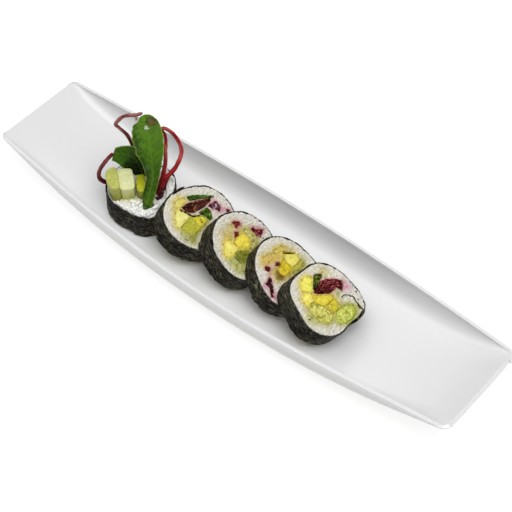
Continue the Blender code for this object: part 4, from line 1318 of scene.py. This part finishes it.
def leaf_tones(leaf, share, side, travelled, reach, vein, rib_share, fine):
    """The blade's colours along one line from foot to tip, at this share of its half width."""
    colours = linear(leaf.colours)
    knots = np.linspace(0, 1, len(colours))
    tone = np.stack([np.interp(share, knots, channel) for channel in colours.T], axis=1)
    tone = blend(tone, VEIN_COLOUR, 0.15 * vein + 0.24 * rib_share)
    tone = blend(tone, HOLLOW_COLOUR, 0.04 + 0.5 * fine - 0.3 * vein)
    # Painted shade, darkest low down on one side of the leaf.
    if leaf.shade:
        into = (leaf.shade[1] - side) * 1.6 + 0.5 * fine - np.abs(share - leaf.shade[0]) * leaf.shade[2]
        tone = blend(tone, PAINTED_SHADE_COLOUR, np.clip(into, 0, 0.75))
    tone = blend(tone, RIM_COLOUR, np.full(len(share), (abs(side) - 0.93) * 8))
    if leaf.scar:
        from_scar = np.hypot(travelled - leaf.scar[0], (reach - leaf.scar[1]) * 0.62) + fine
        tone = blend(tone, SCAR_COLOUR, 1.5 - from_scar * 0.62)
        tone = blend(tone, SCAR_RIM_COLOUR, 1.2 - np.abs(from_scar - 1.9) * 3)
        from_hole = np.hypot(travelled - leaf.hole[0], reach - leaf.hole[1])
        tone = blend(tone, TORN_COLOUR, 2.0 - from_hole * 1.3)
    return tone


def leaf_grid(leaf, seed):
    """The blade's points with its veins and waves, its colours, and its faces less the torn hole."""
    share = np.linspace(0, 1, LEAF_ROWS)
    path = smooth_path(leaf.rib, 16)
    steps = np.linspace(0, 1, len(path))
    rib = np.stack([np.interp(share, steps, path[:, axis]) for axis in range(3)], axis=1)
    half = np.interp(share, steps, smooth_path([(width, 0) for width in leaf.widths], 16)[:, 0]) / 2
    travelled, ahead = course(rib)
    over = np.array(leaf.across) - ahead * (ahead @ np.array(leaf.across))[:, None]
    over /= np.linalg.norm(over, axis=1)[:, None]
    facing = np.cross(over, ahead)
    points, tints, layout = [], [], []
    for side in np.linspace(-1, 1, LEAF_COLUMNS):
        reach = half * side * (1 + lumps([(t, side > 0, seed) for t in travelled], 3.0, seed, 0.07))
        apart = np.abs(reach)
        laid_flat = np.column_stack([travelled, reach, np.zeros(LEAF_ROWS)])
        drift = lumps(laid_flat, 6.0, seed + 3, 1.3)
        phase = (travelled - VEIN_SLANT * apart + drift) / leaf.pitch + 0.5 * (side < 0)
        from_vein = np.abs(phase - np.round(phase)) * leaf.pitch * VEIN_SQUEEZE
        vein = np.exp(-(from_vein / VEIN_WIDTH) ** 2) * (apart > RIB_WIDTH)
        fine = lumps(laid_flat, 1.3, seed + 8, 1.0)
        rib_share = np.exp(-(apart / RIB_WIDTH) ** 2)
        turn = math.tau * travelled / WAVE_LENGTH + seed + (side > 0) * 2.0
        wave = leaf.ripple * abs(side) ** 3 * np.sin(turn)
        puff = 0.14 * (1 - vein) + 0.14 * fine - 0.12 * rib_share
        sway = lumps(laid_flat, 11.0, seed + 5, 0.9)
        lift = leaf.cup * side**2 * half + wave + puff + sway
        points.append(rib + over * reach[:, None] + facing * lift[:, None])
        tints.append(leaf_tones(leaf, share, side, travelled, reach, vein, rib_share, fine))
        layout.append(np.column_stack([travelled, reach]))
    order = np.arange(LEAF_ROWS * LEAF_COLUMNS).reshape(LEAF_COLUMNS, LEAF_ROWS).T.ravel()
    points, tints, layout = (np.vstack(lines)[order] for lines in (points, tints, layout))
    faces = grid_faces(LEAF_ROWS, LEAF_COLUMNS)
    if leaf.hole:
        along, across = (layout[np.array(faces)].mean(axis=1) - np.array(leaf.hole)).T
        torn = (along > -1.0) & (along + 1.1 * across < 1.0) & (along - 1.6 * across < 1.5)
        faces = [face for face, gone in zip(faces, torn) if not gone]
    return points, tints, faces


def make_leaves(finish):
    for name, leaf, seed in (("large_leaf", BIG_LEAF, 3.0), ("small_leaf", SMALL_LEAF, 8.0)):
        points, tints, faces = leaf_grid(leaf, seed)
        piece = new_object("garnish_" + name + "_blade", points, faces, finish)
        set_tint(piece, tints)
        thicken(piece, LEAF_THICKNESS)
        settle(piece)
        keep(piece, "green_leaf", "garnish_" + name)


def make_leaf_foot(finish):
    """The big leaf's stalk, where it goes down through the first slice."""
    cut = SLICES[0]
    points, normals, faces = fine_shape("roll_1_leaf_stalk", cut, 0.36, rounding=4)
    points += normals * lumps(points * (1, 1, 0.3), 1.4, 61, 0.3)[:, None]
    tints = blend(one_tint((70, 98, 26), len(points)), (30, 46, 8), 0.5 + lumps(points, 1.8, 62) * 2)
    foot = tinted_piece("roll_1_leaf_foot", cut, points, faces, finish, tints)
    keep(foot, "green_leaf", "roll_1_leaf_stalk")


@dataclass
class Stem:
    """Juicy stems grown from one node, in millimetres, and their colours as 0 to 255 in sRGB."""

    paths: tuple
    thick: tuple  # each path's radius at its start and at its end
    # deep is the colour of painted shade in the grooves, light that of painted highlights on the ridges
    deep: tuple
    main: tuple
    light: tuple


STEMS = {
    "garnish_stem_loop": Stem(
        (((-62.4, -4.4, 25.6), (-62.0, -2.6, 29.4), (-62.0, 1.6, 33.5), (-60.3, 6.1, 37.2),
          (-58.8, 9.7, 40.9), (-58.0, 13.9, 47.3), (-59.0, 15.9, 52.4), (-62.0, 16.1, 57.8),
          (-65.7, 15.1, 62.3), (-69.4, 13.2, 64.6), (-71.4, 12.6, 62.6)),
         ((-71.4, 12.6, 62.6), (-69.0, 13.2, 58.2), (-67.4, 11.6, 54.1), (-66.7, 10.0, 50.1),
          (-65.2, 7.6, 43.4), (-64.6, 5.0, 37.6), (-63.8, 1.8, 33.0), (-63.4, -2.2, 29.0),
          (-63.4, -4.6, 25.8)),
         ((-60.3, 6.6, 36.9), (-61.6, 5.4, 34.4), (-62.0, 2.2, 30.6), (-61.6, -0.8, 26.4))),
        ((2.0, 1.1), (1.05, 1.9), (1.0, 1.9)), (58, 6, 8), (168, 22, 28), (206, 92, 92)),
    "garnish_stem_hook": Stem(
        (((-82.0, 2.6, 28.4), (-84.2, 1.8, 39.0), (-86.2, 0.9, 49.6), (-88.3, 0.1, 56.8),
          (-91.9, -2.1, 62.6), (-93.7, -3.2, 65.6), (-91.1, 0.2, 70.3), (-88.3, 3.1, 71.5),
          (-85.6, 5.6, 71.4), (-82.0, 9.2, 72.4)),
         ((-84.6, 6.2, 71.3), (-83.8, 5.4, 70.6), (-83.0, 4.2, 69.6))),
        ((1.2, 1.1), (0.9, 0.55)), (62, 18, 20), (124, 54, 52), (172, 118, 108)),
    "garnish_stem_side": Stem(
        (((-87.9, -13.2, 51.9), (-89.2, -15.0, 50.4), (-91.5, -17.4, 46.2), (-94.2, -20.0, 40.3),
          (-95.5, -21.3, 35.1), (-95.2, -21.0, 31.2), (-93.6, -19.6, 28.7), (-91.9, -17.9, 27.7)),),
        ((1.2, 1.5),), (62, 8, 10), (122, 26, 30), (172, 84, 84)),
}


def make_stem_tree():
    """A juicy stem along a line of points, as thick as their thick attribute says."""
    tree, asked = open_tree("juicy_stem", "Line", (("Sides", "Int"), ("Finish", "Material")), "Stem")
    line = result(tree, "GeometryNodeMeshToCurve", {"Mesh": asked["Line"]})
    ring = result(tree, "GeometryNodeCurvePrimitiveCircle", {"Resolution": asked["Sides"], "Radius": 1.0})
    thick = result(tree, "GeometryNodeInputNamedAttribute", {"Name": "thick"}, data_type="FLOAT")
    tube = result(tree, "GeometryNodeCurveToMesh", {
        "Curve": line, "Profile Curve": ring, "Scale": thick, "Fill Caps": True})
    return close_tree(tree, "Stem", tube, asked["Finish"])


def stem_lines(stem, seed):
    """A stem's middle lines: their points, the edges that join these, and its thickness at each."""
    lines, edges, thick = [], [], []
    for path, (start, stop) in zip(stem.paths, stem.thick):
        line = smooth_path(path, 12)
        edges += [(len(thick) + step, len(thick) + step + 1) for step in range(len(line) - 1)]
        share = np.linspace(0, 1, len(line)) ** (0.5 if start > stop else 2)
        uneven = 1 + lumps(line, 2.6, seed, 0.12)
        steps = np.arange(len(line))
        from_end = np.minimum(steps, steps[::-1])
        tip = np.sqrt(np.minimum(from_end / 3.0 + 0.12, 1.0))
        thick += list((start + (stop - start) * share) * uneven * tip * MM)
        lines.append(line)
    return np.vstack(lines), edges, thick


def make_stems():
    juicy = {"Specular IOR Level": 0.28, "Subsurface Weight": 0.1, "Subsurface Scale": 0.0015,
             "Subsurface Radius": (1.0, 0.25, 0.25)}
    finish = tinted("beet_stem", 0.34, juicy, patch=3.0, shades=(0.9, 1.1), bump_size=0.6, bump_depth=0.12)
    tree = make_stem_tree()
    for number, (node, stem) in enumerate(STEMS.items()):
        line, edges, thick = stem_lines(stem, number)
        mesh = bpy.data.meshes.new(node)
        mesh.from_pydata([tuple(point) for point in line * MM], edges, [])
        mesh.attributes.new("thick", "FLOAT", "POINT").data.foreach_set("value", thick)
        piece = run_tree(put(node + "_juicy", mesh), tree, {"Sides": STEM_SIDES, "Finish": finish})
        points = np.array([vertex.co[:] for vertex in piece.data.vertices]) / MM
        near = np.array([np.linalg.norm(line - point, axis=1).argmin() for point in points])
        out = points - line[near]
        out /= np.maximum(np.linalg.norm(out, axis=1), 1e-6)[:, None]
        groove = lumps(out * 3.0 + line[near] * 0.1, 1.6, number + 20)
        points += out * (STEM_GROOVE * groove)[:, None]
        piece.data.vertices.foreach_set("co", (points * MM).ravel())
        piece.data.shade_smooth()
        height = points[:, 2]
        tone = one_tint(stem.main, len(points))
        # Deep red in the grooves is painted shade, and the stems also darken low down; the light colour on
        # the ridges is painted highlight, fading out low down.
        tone = blend(tone, stem.deep, 0.15 - groove * 1.6 + np.clip((DEEP_BELOW - height) / 10, 0, 0.85))
        tone = blend(tone, stem.light, (groove - 0.05) * 2.0 - np.clip((DULL_BELOW - height) / 10, 0, 1))
        set_tint(piece, tone)
        keep(piece, "red_stem", node)


LEAF_FINISH = tinted("beet_leaf", 0.5, {
    "Specular IOR Level": 0.22, "Subsurface Weight": 0.08, "Subsurface Scale": 0.002,
    "Subsurface Radius": (0.4, 1.0, 0.1)}, patch=5.0, shades=(0.88, 1.04), bump_size=0.8, bump_depth=0.1)
make_leaves(LEAF_FINISH)
make_leaf_foot(LEAF_FINISH)
make_stems()
